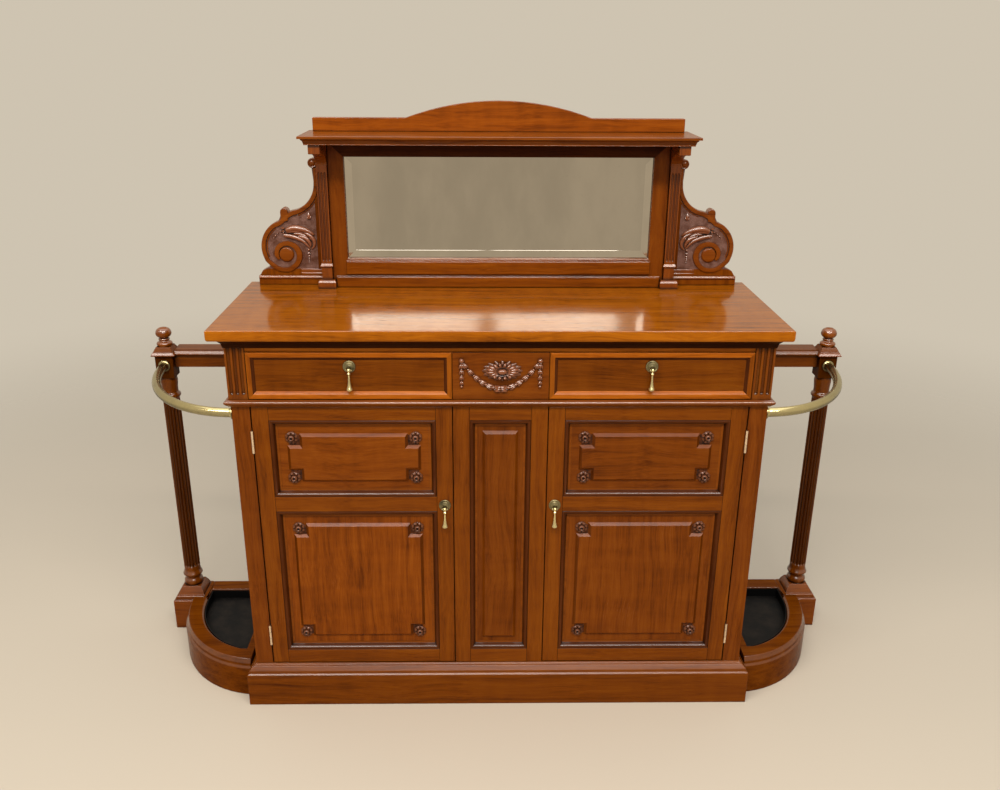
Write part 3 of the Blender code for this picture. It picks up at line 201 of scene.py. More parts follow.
class Recipe:
    """The node tree of one finish, or of another owner."""

    def __init__(self, name, owner=None):
        self.owner = owner or bpy.data.materials.new(name)
        self.owner.use_nodes = True
        self.nodes = self.owner.node_tree.nodes
        self.links = self.owner.node_tree.links
        self.nodes.clear()
        self.tones = bpy.context.scene.cupboard_colours

    def add(self, kind, settings=None, sockets=None, out=0):
        """Add a node: its settings first, then the values or wires of its sockets."""
        node = self.nodes.new(kind)
        for key, value in (settings or {}).items():
            if key == "stops":
                self.set_stops(node.color_ramp, value)
            else:
                setattr(node, key, value)
        for key, value in (sockets or {}).items():
            if isinstance(value, Wire):
                self.links.new(value.socket, node.inputs[key])
            else:
                node.inputs[key].default_value = value
        return Wire(self, node.outputs[out])

    def set_stops(self, ramp, stops):
        while len(ramp.elements) < len(stops):
            ramp.elements.new(0.5)
        for element, (position, tone) in zip(ramp.elements, stops):
            element.position = position
            element.color = (*tone, 1.0)

    def place(self):
        return self.add("ShaderNodeTexCoord", out="Object")

    def part(self, vector, axis):
        return self.add("ShaderNodeSeparateXYZ", sockets={0: vector}, out=axis)

    def facing(self, axis):
        """How far the surface looks along an axis, from -1 to 1."""
        return self.part(self.add("ShaderNodeNewGeometry", out="Normal"), axis)

    def crevice(self, reach):
        """1 in tight corners, 0 in the open."""
        return 1 - self.add("ShaderNodeAmbientOcclusion", {"samples": 4}, {"Distance": reach}, out="AO")

    def rubbed_edge(self, reach):
        """1 on sharp outer edges, 0 on flat wood."""
        settings = {"samples": 4, "inside": True, "only_local": True}
        return 1 - self.add("ShaderNodeAmbientOcclusion", settings, {"Distance": reach}, out="AO")

    def mix(self, share, first, second):
        """Blend two colours; plain colours are written as three numbers."""
        ends = [value if isinstance(value, Wire) else (*value, 1.0) for value in (first, second)]
        settings = {"data_type": "RGBA", "clamp_factor": True}
        return self.add("ShaderNodeMix", settings, {0: share, 6: ends[0], 7: ends[1]}, out=2)

    def stops(self, value, *stops):
        """Colours that follow a value, each written as where it lies and its tone."""
        return self.add("ShaderNodeValToRGB", {"stops": stops}, {0: value})

    def noise(self, place, scale, detail, roughness=0.5, distortion=0.0, stretch=None):
        """Noise at a place, which may be stretched first."""
        if stretch:
            place = self.add("ShaderNodeVectorMath", {"operation": "MULTIPLY"}, {0: place, 1: stretch})
        sockets = {"Vector": place, "Scale": scale, "Detail": detail, "Roughness": roughness,
                   "Distortion": distortion}
        return self.add("ShaderNodeTexNoise", None, sockets)

    def bump(self, height, strength, distance):
        sockets = {"Height": height, "Strength": strength, "Distance": distance}
        return self.add("ShaderNodeBump", None, sockets)

    def finish(self, body, rough, **sockets):
        """End the tree in one Principled shader, whose sockets are named in small letters."""
        named = {key.replace("_", " ").title().replace("Ior", "IOR"): value for key, value in sockets.items()}
        shader = self.add("ShaderNodeBsdfPrincipled", None, {"Base Color": body, "Roughness": rough, **named})
        self.end("ShaderNodeOutputMaterial", shader)
        return self.owner

    def end(self, kind, shader):
        self.links.new(shader.socket, self.nodes.new(kind).inputs["Surface"])


def shade(tone, *factors):
    """A colour times one factor, or times one for each of its channels."""
    if len(factors) == 1:
        factors *= 3
    return tuple(min(1.0, c * f) for c, f in zip(tone, factors))


# Finishes


def grain_place(recipe, grain):
    """Object coordinates with the grain along the first axis; run turns it on the returns of a moulding."""
    place = recipe.place()
    turns = {"across": HERE, "upright": (0, math.pi / 2, 0), "deep": (0, 0, math.pi / 2)}
    if grain != "run":
        return recipe.add("ShaderNodeMapping", None, {"Vector": place, "Rotation": turns[grain],
                                                      "Location": (0.37, 0.11, 0.23)})
    on_return = recipe.facing("X").size() > 0.72
    turned = recipe.add("ShaderNodeMapping", None, {"Vector": place, "Rotation": turns["deep"]})
    return recipe.add("ShaderNodeMix", {"data_type": "VECTOR"}, {0: on_return, 4: place, 5: turned}, out=1)


def walnut(name, grain, wood="frame_wood", tint=1.0, figure=0.5, gloss=0.09, reach=0.010, polish_and_shade_share=0.85,
           sheen=0.24, corners=(0.22, 0.85), polish=0.6, blur=0.16):
    """French-polished walnut: rings, streaks, pores, old polish and painted shade in corners, and rubbed edges.

    Slopes that look up, but not flat tops, are waxed: polish is the weight of the coat, blur its roughness.
    """
    recipe = Recipe(name)
    middle = shade(getattr(recipe.tones, wood), tint)
    dark = shade(middle, 0.42, 0.36, 0.30)
    light = shade(middle, 1.48, 1.75, 2.6)
    place = grain_place(recipe, grain)
    drift = recipe.noise(place, 2.6, 1.0)
    sway = recipe.add("ShaderNodeTexNoise", None, {"Vector": place, "Scale": 3.2}, out="Color")
    wander = recipe.add("ShaderNodeVectorMath", {"operation": "MULTIPLY_ADD"},
                        {0: sway, 1: (0.0, 0.045, 0.045), 2: place})
    rings = recipe.noise(wander, 5.2, 3.0, 0.55, 0.5, stretch=(0.5, 14.0, 14.0))
    streaks = recipe.noise(wander, 21.0, 4.0, 0.62, stretch=(0.45, 26.0, 26.0))
    pores = recipe.noise(place, 58.0, 2.0, 0.6, stretch=(1.0, 34.0, 34.0)).ramp(0.58, 0.74)
    ripple = recipe.noise(place, 9.0, 2.0, 0.5, stretch=(3.4, 1.0, 1.0))
    tone = rings * 0.52 + streaks * 0.40 + ripple * (0.22 * figure) + drift * 0.18 - 0.05 - 0.11 * figure
    body = recipe.stops(tone, (0.30, dark), (0.50, middle), (0.76, light))
    body = recipe.mix(pores * 0.40, body, dark)
    # Painted shade with old polish: corners and recesses darken towards the polish colour
    corner = recipe.crevice(reach)
    body = recipe.mix(corner.ramp(*corners) * polish_and_shade_share, body, recipe.tones.polish_and_shade_tone)
    body = recipe.mix(recipe.rubbed_edge(0.0022).ramp(0.30, 0.85) * 0.28, body, light)
    smears = recipe.noise(place, 11.0, 3.0, 0.6)
    rough = sheen - 0.08 + streaks * 0.08 + smears * 0.10 + corner * 0.25
    rise = recipe.facing("Z")
    waxed = rise.ramp(0.10, 0.45) * (1 - rise.ramp(0.93, 0.985))
    return recipe.finish(body, rough, normal=recipe.bump(streaks * 0.30 - pores * 0.70, 0.16, 0.0004),
                         specular_ior_level=gloss, coat_weight=waxed * polish, coat_roughness=blur,
                         coat_ior=1.9)


def dark_seat(name):
    """The sinking behind a rosette, painted dark as shade and dirt."""
    recipe = Recipe(name)
    cloud = recipe.noise(recipe.place(), 120.0, 3.0, 0.6)
    body = recipe.mix(cloud.ramp(0.30, 0.70) * 0.85, recipe.tones.polish_and_shade_tone, recipe.tones.dark_wood)
    return recipe.finish(body, 0.38 + cloud * 0.2, normal=recipe.bump(cloud, 0.3, 0.0005),
                         specular_ior_level=0.2)


def punched_ground(name):
    """Ground behind the carving, matted with a punch and darkened next to the carving as painted shade."""
    recipe = Recipe(name)
    tones = recipe.tones
    place = recipe.place()
    dots = recipe.add("ShaderNodeTexVoronoi", {"feature": "F1"}, {"Vector": place, "Scale": 520.0})
    pits = dots.ramp(0.15, 0.55)
    cloud = recipe.noise(place, 60.0, 3.0, 0.6)
    body = recipe.mix(cloud.ramp(0.35, 0.7), tones.ground, tones.dark_wood)
    body = recipe.mix(pits * 0.45, body, tones.polish_and_shade_tone)
    # Painted shade next to the carving
    body = recipe.mix(recipe.crevice(0.008).ramp(0.2, 0.9) * 0.85, body, tones.polish_and_shade_tone)
    return recipe.finish(body, 0.38 + cloud * 0.2, normal=recipe.bump(1 - pits, 0.6, 0.0008),
                         specular_ior_level=0.4, coat_weight=0.12, coat_roughness=0.2)


def lining(name, grain):
    """Unpolished softwood with clear growth rings, darkened in the corners as painted shade."""
    recipe = Recipe(name)
    wood = recipe.tones.lining
    place = grain_place(recipe, grain)
    rings = recipe.noise(place, 7.0, 3.0, 0.5, 0.8, stretch=(1.0, 16.0, 16.0))
    fibres = recipe.noise(place, 60.0, 3.0, 0.6, stretch=(1.0, 40.0, 40.0))
    body = recipe.stops(rings * 0.7 + fibres * 0.3, (0.32, shade(wood, 0.62)), (0.5, wood),
                        (0.7, shade(wood, 1.25)))
    # Painted shade in the corners
    body = recipe.mix(recipe.crevice(0.03).ramp(0.2, 0.95) * 0.7, body, shade(wood, 0.25))
    return recipe.finish(body, 0.62 + fibres * 0.2, normal=recipe.bump(fibres, 0.25, 0.0006),
                         specular_ior_level=0.25)


def aged_brass(name, age=0.0, clouds=0.38, shine=0.20, metal="brass", under=0.0, bow=0.0):
    """Rubbed brass with a brown film where hands don't reach.

    Age and clouds add film all over and in patches; under and bow paint shade with the film on the underside
    and out along a bowed rail.
    """
    recipe = Recipe(name)
    place = recipe.place()
    cloud = recipe.noise(place, 42.0, 4.0, 0.6)
    specks = recipe.noise(place, 420.0, 2.0, 0.6).ramp(0.62, 0.74)
    film = cloud.ramp(0.46, 0.78) * clouds + recipe.crevice(0.006).ramp(0.20, 0.90) * 0.85
    film = film + specks * 0.2 + age - recipe.rubbed_edge(0.0016).ramp(0.3, 0.9) * 0.5
    # Painted shade: the underside and the far bend of a rail darken with film
    if under:
        film = film + (1 - recipe.facing("Z").ramp(-0.25, 0.50)) * under
    if bow:
        film = film + recipe.part(place, "X").size().ramp(0.62, 0.78) * bow
    body = recipe.mix(film, getattr(recipe.tones, metal), recipe.tones.tarnish_and_shade)
    scratches = recipe.noise(place, 14.0, 2.0, 0.7, stretch=(14.0, 90.0, 90.0))
    return recipe.finish(body, shine + cloud * 0.14 + film * 0.2, metallic=1.0,
                         normal=recipe.bump(scratches, 0.06, 0.0003))


def mirror_glass(name, lift=1.0):
    """Old silvered glass, a little grey, with a faint bloom; lift brightens it."""
    recipe = Recipe(name)
    place = recipe.place()
    bloom = recipe.noise(place, 9.0, 4.0, 0.6, stretch=(1.0, 1.0, 0.45))
    specks = recipe.noise(place, 190.0, 2.0, 0.5).ramp(0.70, 0.76)
    clear, cloudy = (shade(recipe.tones.glass, lift * share) for share in (1.05, 0.90))
    body = recipe.mix(bloom.ramp(0.30, 0.72), clear, cloudy)
    body = recipe.mix(specks * 0.22, body, recipe.tones.specks)
    return recipe.finish(body, 0.035 + bloom * 0.03, metallic=1.0)


def black_iron(name):
    """Black painted iron, dusty and scuffed inside the trays; its walls and deep corners are painted black as
    shade.
    """
    recipe = Recipe(name)
    tones = recipe.tones
    place = recipe.place()
    dust = recipe.noise(place, 26.0, 5.0, 0.65)
    facing_up = recipe.facing("Z").ramp(0.5, 1.0)
    casting = recipe.noise(place, 340.0, 3.0, 0.6)
    body = recipe.mix(facing_up * dust.ramp(0.32, 0.8) * 0.75, tones.iron, tones.dust)
    # Painted shade in the deep corners of the tray
    body = recipe.mix(recipe.crevice(0.05).ramp(0.22, 0.50), body, tones.shade_black)
    # Painted shade: faces that do not look up, the walls of the tray, are painted black
    body = recipe.mix(facing_up, tones.shade_black, body)
    return recipe.finish(body, 0.48 + dust * 0.3, normal=recipe.bump(casting + dust, 0.3, 0.0006),
                         specular_ior_level=0.12)


# What several walnut finishes share

PANEL = dict(wood="panel_wood")
FIGURED = dict(PANEL, figure=1.0)
DOOR_BOARD = dict(FIGURED, polish=0.10, blur=0.30)
TURNED = dict(reach=0.008, polish_and_shade_share=1.0, corners=(0.12, 0.60))
# Painted shade: mouldings are painted in darkened walnut, darker still in their corners
SHADED_MOULDING = dict(wood="dark_wood", tint=0.70, gloss=0.06, reach=0.018, polish_and_shade_share=1.0, corners=(0.10, 0.48),
                blur=0.22)
CARVED = dict(wood="carved_wood", polish_and_shade_share=1.0)

WALNUTS = {
    "across": {
        "walnut_across": {},
        "mirror_across": dict(tint=1.10, polish=1.0, blur=0.13),
        "shaded_across": dict(wood="dark_wood", tint=0.62, gloss=0.04, reach=0.05, polish_and_shade_share=1.0, polish=0.0),
        "stand_across": dict(tint=0.78, gloss=0.10, polish_and_shade_share=1.0, corners=(0.10, 0.55), reach=0.014,
                             polish=0.24, blur=0.22),
        # Painted light and shade: the rail under the cove is brightened against the top's shadow and darkened
        # up towards the cove
        "rail_across": dict(wood="bead_wood", tint=1.22, reach=0.020, polish_and_shade_share=1.0, corners=(0.50, 0.92),
                            polish=0.0),
        "moulding_across": dict(SHADED_MOULDING, polish=0.66),
        "bead_across": dict(wood="bead_wood", tint=1.20, polish=0.10, blur=0.30),
        "drawer_across": dict(tint=0.84, figure=1.0, polish=0.4),
        "figured_across": dict(FIGURED, tint=0.90),
        # Painted shade: the right door's boards are painted darker than the left's
        "left_upper_board": dict(DOOR_BOARD, tint=0.94),
        "right_upper_board": dict(DOOR_BOARD, tint=0.80),
        "gallery_across": dict(PANEL, tint=1.26, figure=0.8),
        # Its wide corner reach paints shade round the carving
        "frieze_walnut": dict(FIGURED, tint=0.84, reach=0.020, polish_and_shade_share=1.0, corners=(0.12, 0.60), polish=0.0),
        "carved_walnut": dict(CARVED, gloss=0.34, reach=0.007, corners=(0.10, 0.54), polish=1.0, blur=0.26),
        "rosette_walnut": dict(CARVED, tint=0.66, gloss=0.24, reach=0.006, sheen=0.30, corners=(0.08, 0.55),
                               polish=0.45, blur=0.34),
        "rim_walnut": dict(PANEL, **TURNED, tint=0.90, gloss=0.14, polish=0.38, blur=0.20),
        "cap_walnut": dict(TURNED, tint=0.72, gloss=0.05, polish=0.08, blur=0.22),
        "finial_walnut": dict(TURNED, tint=1.10, gloss=0.24, polish=0.9, blur=0.22),
    },
    "upright": {
        "walnut_upright": {},
        "stile_upright": dict(PANEL, tint=0.84, polish=0.3),
        "mirror_upright": dict(PANEL, tint=0.80),
        # Painted shade on the side bevels of the door panels
        "bevel_upright": dict(PANEL, tint=0.58, polish=0.0),
        # The post shafts are painted a little darker as shade and dirt, and dark in their flutes as painted
        # shade
        "post_fluted": dict(tint=0.88, gloss=0.16, polish_and_shade_share=1.0, reach=0.007, corners=(0.04, 0.34), polish=0.7),
        # Painted shade: the block under the cap is painted dark
        "post_block": dict(tint=0.40, gloss=0.01, polish_and_shade_share=1.0, reach=0.020, corners=(0.06, 0.55)),
        "block_fluted": dict(gloss=0.16, reach=0.009, polish_and_shade_share=1.0, corners=(0.10, 0.60), polish=0.7),
        "pilaster_upright": dict(PANEL, gloss=0.34, reach=0.008, polish_and_shade_share=1.0, corners=(0.04, 0.42),
                                 polish=0.36, blur=0.24),
        "moulding_upright": dict(SHADED_MOULDING, polish=0.4),
        "bead_upright": dict(wood="bead_wood", tint=0.80),
        # Painted shade: the right door's boards are painted darker than the left's
        "left_lower_board": dict(DOOR_BOARD, tint=1.05),
        "right_lower_board": dict(DOOR_BOARD, tint=0.85),
        "centre_upright": dict(FIGURED, tint=0.76, polish=0.22, blur=0.34),
        # Painted shade: the strip beside the pilaster is painted dark
        "border_upright": dict(PANEL, tint=0.60, gloss=0.05, polish=0.0),
    },
    "run": {
        "waist_run": dict(gloss=0.14, polish=0.86),
        "cornice_run": dict(tint=1.08, gloss=0.14, blur=0.20),
        "plinth_run": dict(tint=0.90, gloss=0.08, polish=0.26, blur=0.22),
        "kerb_run": dict(tint=0.80, gloss=0.03, blur=0.20),
        # Painted shade: the cove under the top is painted near-black
        "cove_run": dict(wood="dark_wood", tint=0.44, gloss=0.02, reach=0.050, polish_and_shade_share=1.0,
                         corners=(0.0, 0.30), polish=0.0),
        "sunned_across": dict(wood="sunned_wood", tint=0.89, figure=0.8, gloss=0.36, sheen=0.10),
        "sunned_edge": dict(wood="sunned_wood", tint=1.14, figure=0.8, polish=0.20),
    },
}
FINISHES = {
    "dark_seat": (dark_seat, {}),
    "punched_ground": (punched_ground, {}),
    "aged_brass": (aged_brass, {}),
    "hinge_brass": (aged_brass, dict(metal="pale_brass")),
    # The rail's underside and far bend get film as painted shade
    "rail_brass": (aged_brass, dict(age=0.06, clouds=0.14, shine=0.10, under=0.50, bow=0.36)),
    "dull_brass": (aged_brass, dict(age=0.72)),
    "silvered_glass": (mirror_glass, {}),
    "bevelled_glass": (mirror_glass, dict(lift=1.13)),
    "black_iron_paint": (black_iron, {}),
}
for way in ("across", "upright", "deep"):
    FINISHES[f"lining_{way}"] = (lining, dict(grain=way))
for way, woods in WALNUTS.items():
    for wood_name, choices in woods.items():
        FINISHES[wood_name] = (walnut, dict(choices, grain=way))
MADE = {}


def finish(name):
    """The finish of that name, made when it is first asked for."""
    if name not in MADE:
        recipe, choices = FINISHES[name]
        MADE[name] = recipe(name, **choices)
    return MADE[name]


# Bench work: picking, shaping and setting down


def take(piece):
    """Make one piece the only selected one."""
    if bpy.context.object is not None and bpy.context.object.mode != "OBJECT":
        bpy.ops.object.mode_set(mode="OBJECT")
    bpy.ops.object.select_all(action="DESELECT")
    if piece is not None:
        piece.select_set(True)
        bpy.context.view_layer.objects.active = piece


def open_edit(piece, kind="FACE"):
    take(piece)
    bpy.ops.object.mode_set(mode="EDIT")
    bpy.ops.mesh.select_mode(type=kind)
    bpy.ops.mesh.select_all(action="SELECT")


def close_edit():
    bpy.ops.object.mode_set(mode="OBJECT")


def pick(test, kind="FACE"):
    """Select the faces, edges or points of the open piece that the test accepts."""
    bpy.ops.mesh.select_mode(type=kind)
    bpy.ops.mesh.select_all(action="DESELECT")
    mesh = bpy.context.edit_object.data
    build = bmesh.from_edit_mesh(mesh)
    for item in {"FACE": build.faces, "EDGE": build.edges, "VERT": build.verts}[kind]:
        if test(item):
            item.select_set(True)
    build.select_flush_mode()
    bmesh.update_edit_mesh(mesh)


def tidy_skin():
    """Close seams and poles of the open piece and turn its faces outwards."""
    bpy.ops.mesh.select_all(action="SELECT")
    bpy.ops.mesh.remove_doubles(threshold=2e-6)
    bpy.ops.mesh.normals_make_consistent(inside=False)


def settle():
    """Put the place, turn and size of the active object into its mesh."""
    bpy.ops.object.transform_apply(location=True, rotation=True, scale=True)
    return bpy.context.object


def plank(low, high, arris=0.0):
    """A board between two corners with its edges eased."""
    take(None)
    middle = [(a + b) / 2 for a, b in zip(low, high)]
    size = [abs(b - a) for a, b in zip(low, high)]
    bpy.ops.mesh.primitive_cube_add(size=1, location=middle, scale=size)
    piece = settle()
    if arris:
        open_edit(piece)
        bpy.ops.mesh.bevel(offset=arris, segments=2, affect="EDGES")
        close_edit()
    return piece


def stack(levels):
    """Square work built up from the foot: each level is (left, right, front, back, up)."""
    take(None)
    left, right, front, back, up = levels[0]
    bpy.ops.mesh.primitive_plane_add(size=1, location=((left + right) / 2, (front + back) / 2, up))
    bpy.context.object.scale = (right - left, back - front, 1)
    piece = settle()
    open_edit(piece)
    for below, above in zip(levels, levels[1:]):
        old = Vector(((below[0] + below[1]) / 2, (below[2] + below[3]) / 2, below[4]))
        new = Vector(((above[0] + above[1]) / 2, (above[2] + above[3]) / 2, above[4]))
        grow = ((above[1] - above[0]) / (below[1] - below[0]),
                (above[3] - above[2]) / (below[3] - below[2]), 1)
        bpy.ops.mesh.extrude_region_move(TRANSFORM_OT_translate={"value": new - old})
        bpy.ops.transform.resize(value=grow, center_override=new)
    tidy_skin()
    close_edit()
    return piece


def flow(points, steps):
    """A smooth run of points through the given ones."""
    run = []
    last = len(points) - 1
    for k in range(last):
        around = [Vector(points[min(max(k + j, 0), last)]) for j in (-1, 0, 1, 2)]
        for step in range(steps):
            t = step / steps
            a, b, c, d = around
            run.append(0.5 * (2 * b + (c - a) * t + (2 * a - 5 * b + 4 * c - d) * t * t
                              + (3 * b - a - 3 * c + d) * t ** 3))
    run.append(Vector(points[last]))
    return run


def draw_line(points):
    """A chain of points, extruded one after the other from a single one, left open in edit mode."""
    take(None)
    bpy.ops.mesh.primitive_plane_add(size=0.001, location=points[0])
    piece = settle()
    open_edit(piece, "VERT")
    bpy.ops.mesh.merge(type="CENTER")
    for near, far in zip(points, points[1:]):
        bpy.ops.mesh.extrude_vertices_move(TRANSFORM_OT_translate={"value": Vector(far) - Vector(near)})
    bpy.ops.mesh.select_all(action="SELECT")
    return piece


def turn(profile, centre, axis, steps):
    """Turn (radius, along) pairs on a lathe about an axis through centre."""
    along = Vector(axis)
    out = Vector(UPWARD) if abs(along.x) > 0.5 else Vector((1, 0, 0))
    middle = Vector(centre)
    piece = draw_line([middle + out * max(radius, 0.0) + along * reach for radius, reach in profile])
    bpy.ops.mesh.spin(steps=steps, angle=2 * math.pi, center=middle, axis=along)
    tidy_skin()
    close_edit()
    return piece


def cut_out(outline, thickness):
    """A board cut to an outline and given its thickness, a vector."""
    piece = draw_line(outline)
    bpy.ops.mesh.edge_face_add()
    bpy.ops.mesh.extrude_region_move(TRANSFORM_OT_translate={"value": thickness})
    tidy_skin()
    close_edit()
    return piece


def rod(points, radii, sides, flat=None, crown=None):
    """A round rod drawn through points; flat squeezes it to a plane across Y, crown planes its front off."""
    take(None)
    bpy.ops.curve.primitive_bezier_curve_add(location=HERE)
    piece = settle()
    line = piece.data
    line.splines.clear()
    spline = line.splines.new("POLY")
    spline.points.add(len(points) - 1)
    for knot, place, radius in zip(spline.points, points, radii):
        knot.co = (*place, 1.0)
        knot.radius = radius / max(radii)
    line.dimensions = "3D"
    line.bevel_depth = max(radii)
    line.bevel_resolution = sides
    line.use_fill_caps = True
    bpy.ops.object.convert(target="MESH")
    piece = bpy.context.object
    open_edit(piece)
    tidy_skin()
    if flat is not None:
        level, squeeze = flat
        bpy.ops.transform.resize(value=(1, squeeze, 1), center_override=(0, level, 0))
    if crown is not None:
        pick(lambda v: v.co.y < crown, "VERT")
        bpy.ops.transform.resize(value=(1, 0.12, 1), center_override=(0, crown, 0))
    close_edit()
    return piece


def leaf(long, wide, high, fall, hollow=0.22):
    """A carved leaf: a ball drawn out to a point along X, hollowed along its middle, on the plane Y=0."""
    take(None)
    bpy.ops.mesh.primitive_uv_sphere_add(segments=10, ring_count=8, radius=1, rotation=(0, math.pi / 2, 0))
    piece = settle()
    open_edit(piece, "VERT")
    pick(lambda v: v.co.x > 0.3, "VERT")
    bpy.ops.transform.resize(value=(1, 1 - fall, 1 - fall), center_override=HERE)
    pick(lambda v: v.co.x > 0.8, "VERT")
    bpy.ops.transform.resize(value=(1, 0.5, 0.45), center_override=HERE)
    pick(lambda v: abs(v.co.z) < 0.2 and v.co.y < -0.3 and v.co.x > -0.8, "VERT")
    bpy.ops.transform.translate(value=(0, hollow, 0))
    bpy.ops.mesh.select_all(action="SELECT")
    bpy.ops.transform.translate(value=(1, 0, 0))
    bpy.ops.transform.resize(value=(long / 2, high, wide / 2), center_override=HERE)
    tidy_skin()
    close_edit()
    return piece


def copy_of(piece, matrix):
    """A copy with its own mesh, moved by a matrix."""
    twin = piece.copy()
    twin.data = piece.data.copy()
    twin.data.transform(matrix)
    if matrix.determinant() < 0:
        twin.data.flip_normals()
    bpy.context.scene.collection.objects.link(twin)
    return twin


def lay(place, turn_up, scale=(1, 1, 1), lean=0.0):
    """Matrix that lays a carved form on an upright face: sized, tip leaned in, turned in the face, placed."""
    sized = Matrix.Rotation(lean, 4, "Z") @ Matrix.Diagonal((*scale, 1))
    return Matrix.Translation(place) @ Matrix.Rotation(-turn_up, 4, "Y") @ sized


def join(parts):
    take(parts[0])
    for part in parts:
        part.select_set(True)
    if len(parts) > 1:
        bpy.ops.object.join()
    return bpy.context.object


def throw_away(piece):
    mesh = piece.data
    bpy.data.objects.remove(piece)
    bpy.data.meshes.remove(mesh)


def boss(profile, at, steps, smooth=2):
    """A round form turned on an upright face, its profile drawn as a smooth run."""
    return turn(flow(profile, smooth), at, FORWARD, steps)


def scatter(form, places):
    """Copies of a form, one for each matrix; the form itself goes."""
    copies = [copy_of(form, place) for place in places]
    throw_away(form)
    return copies


def apply_change(piece, kind, **settings):
    """Give a piece a modifier, set it and apply it."""
    take(piece)
    change = piece.modifiers.new(kind.lower(), kind)
    for key, value in settings.items():
        setattr(change, key, value)
    bpy.ops.object.modifier_apply(modifier=change.name)
    return piece


def soften(piece, width, segments=2, angle=32):
    """Ease every sharp edge with an applied bevel."""
    return apply_change(piece, "BEVEL", limit_method="ANGLE", angle_limit=math.radians(angle), width=width,
                        segments=segments)


def cut_away(piece, cutter):
    """Take the shape of a cutter out of a piece."""
    apply_change(piece, "BOOLEAN", operation="DIFFERENCE", solver="EXACT", object=cutter)
    throw_away(cutter)
    return piece


def work_front(piece, steps):
    """Inset the front of a block step by step, each (width, rise), and leave the piece open."""
    open_edit(piece)
    pick(lambda f: f.normal.y < -0.9)
    for width, rise in steps:
        bpy.ops.mesh.inset(thickness=width, depth=rise)


def nosing(ends, front, back, top, height, lean=33):
    """A strip along X whose front leans back by some degrees and so catches the light."""
    rise = 0.55 * height
    fall = rise * math.tan(math.radians(lean))
    run = [(back, top - height), (front + 0.15 * height, top - height), (front, top - 0.85 * height),
           (front, top - 0.68 * height), (front + fall, top - 0.13 * height),
           (front + fall + 0.13 * height, top), (back, top)]
    strip = cut_out([(ends[0], y, z) for y, z in run], (ends[1] - ends[0], 0, 0))
    return soften(strip, 0.0006, 3, 12)


def mid(face):
    return face.calc_center_median()


def dress(piece, *finishes):
    piece.data.materials.clear()
    for name in finishes:
        piece.data.materials.append(finish(name))
    return piece


def dress_all(parts, name):
    """Give one finish to several parts and join them."""
    return join([dress(part, name) for part in parts])


def paint(piece, index, test):
    """Give another of its finishes to the faces that the test accepts."""
    open_edit(piece)
    pick(test)
    piece.active_material_index = index
    bpy.ops.object.material_slot_assign()
    close_edit()


def set_down(piece, name, *nodes, body="cupboard", slot="polished_walnut", angle=32):
    """Name a finished piece, smooth its curves and hang it on its body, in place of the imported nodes."""
    take(piece)
    bpy.ops.object.shade_smooth_by_angle(angle=math.radians(angle))
    if angle < 45:
        apply_change(piece, "WEIGHTED_NORMAL", keep_sharp=True)
    piece.name = name
    piece.data.name = name
    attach(piece, body)
    if nodes:
        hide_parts(*nodes)


def raw_copy(node):
    """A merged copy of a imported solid, free of its marks."""
    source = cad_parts[node]
    piece = source.copy()
    piece.data = source.data.copy()
    piece.parent = None
    for key in list(piece.keys()):
        del piece[key]
    bpy.context.scene.collection.objects.link(piece)
    open_edit(piece)
    bpy.ops.mesh.remove_doubles(threshold=1e-5)
    close_edit()
    return piece


def ease_node(node, wood, width=None, body="cupboard", slot="polished_walnut", others=None, segments=2,
              angle=32, level=None, cutters=(), work=None):
    """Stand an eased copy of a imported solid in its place.

    Cutters are taken out of it first, and a level parts its faces at that height. Others gives further
    finishes, each with a test for its faces. Work is a last bit of shaping before the edges are eased.
    """
    piece = raw_copy(node)
    for cutter in cutters:
        cut_away(piece, cutter)
    if level is not None:
        open_edit(piece)
        bpy.ops.mesh.bisect(plane_co=(0, 0, level), plane_no=UPWARD)
        close_edit()
    others = others or {}
    dress(piece, wood, *others)
    for face in piece.data.polygons:
        face.material_index = 0
    for number, test in enumerate(others.values(), 1):
        paint(piece, number, test)
    open_edit(piece)
    bpy.ops.mesh.dissolve_limited(angle_limit=math.radians(0.5), delimit={"MATERIAL"})
    close_edit()
    if work is not None:
        work(piece)
    soften(piece, bpy.context.scene.cupboard_sizes.arris if width is None else width, segments, angle)
    set_down(piece, f"{node}_eased", node, body=body, slot=slot)


class BenchOperator(bpy.types.Operator):
    """Shared by all the operators that make pieces"""

    bl_options = {"REGISTER", "UNDO"}

    def execute(self, context):
        self.make(context.scene.cupboard_sizes)
        return {"FINISHED"}


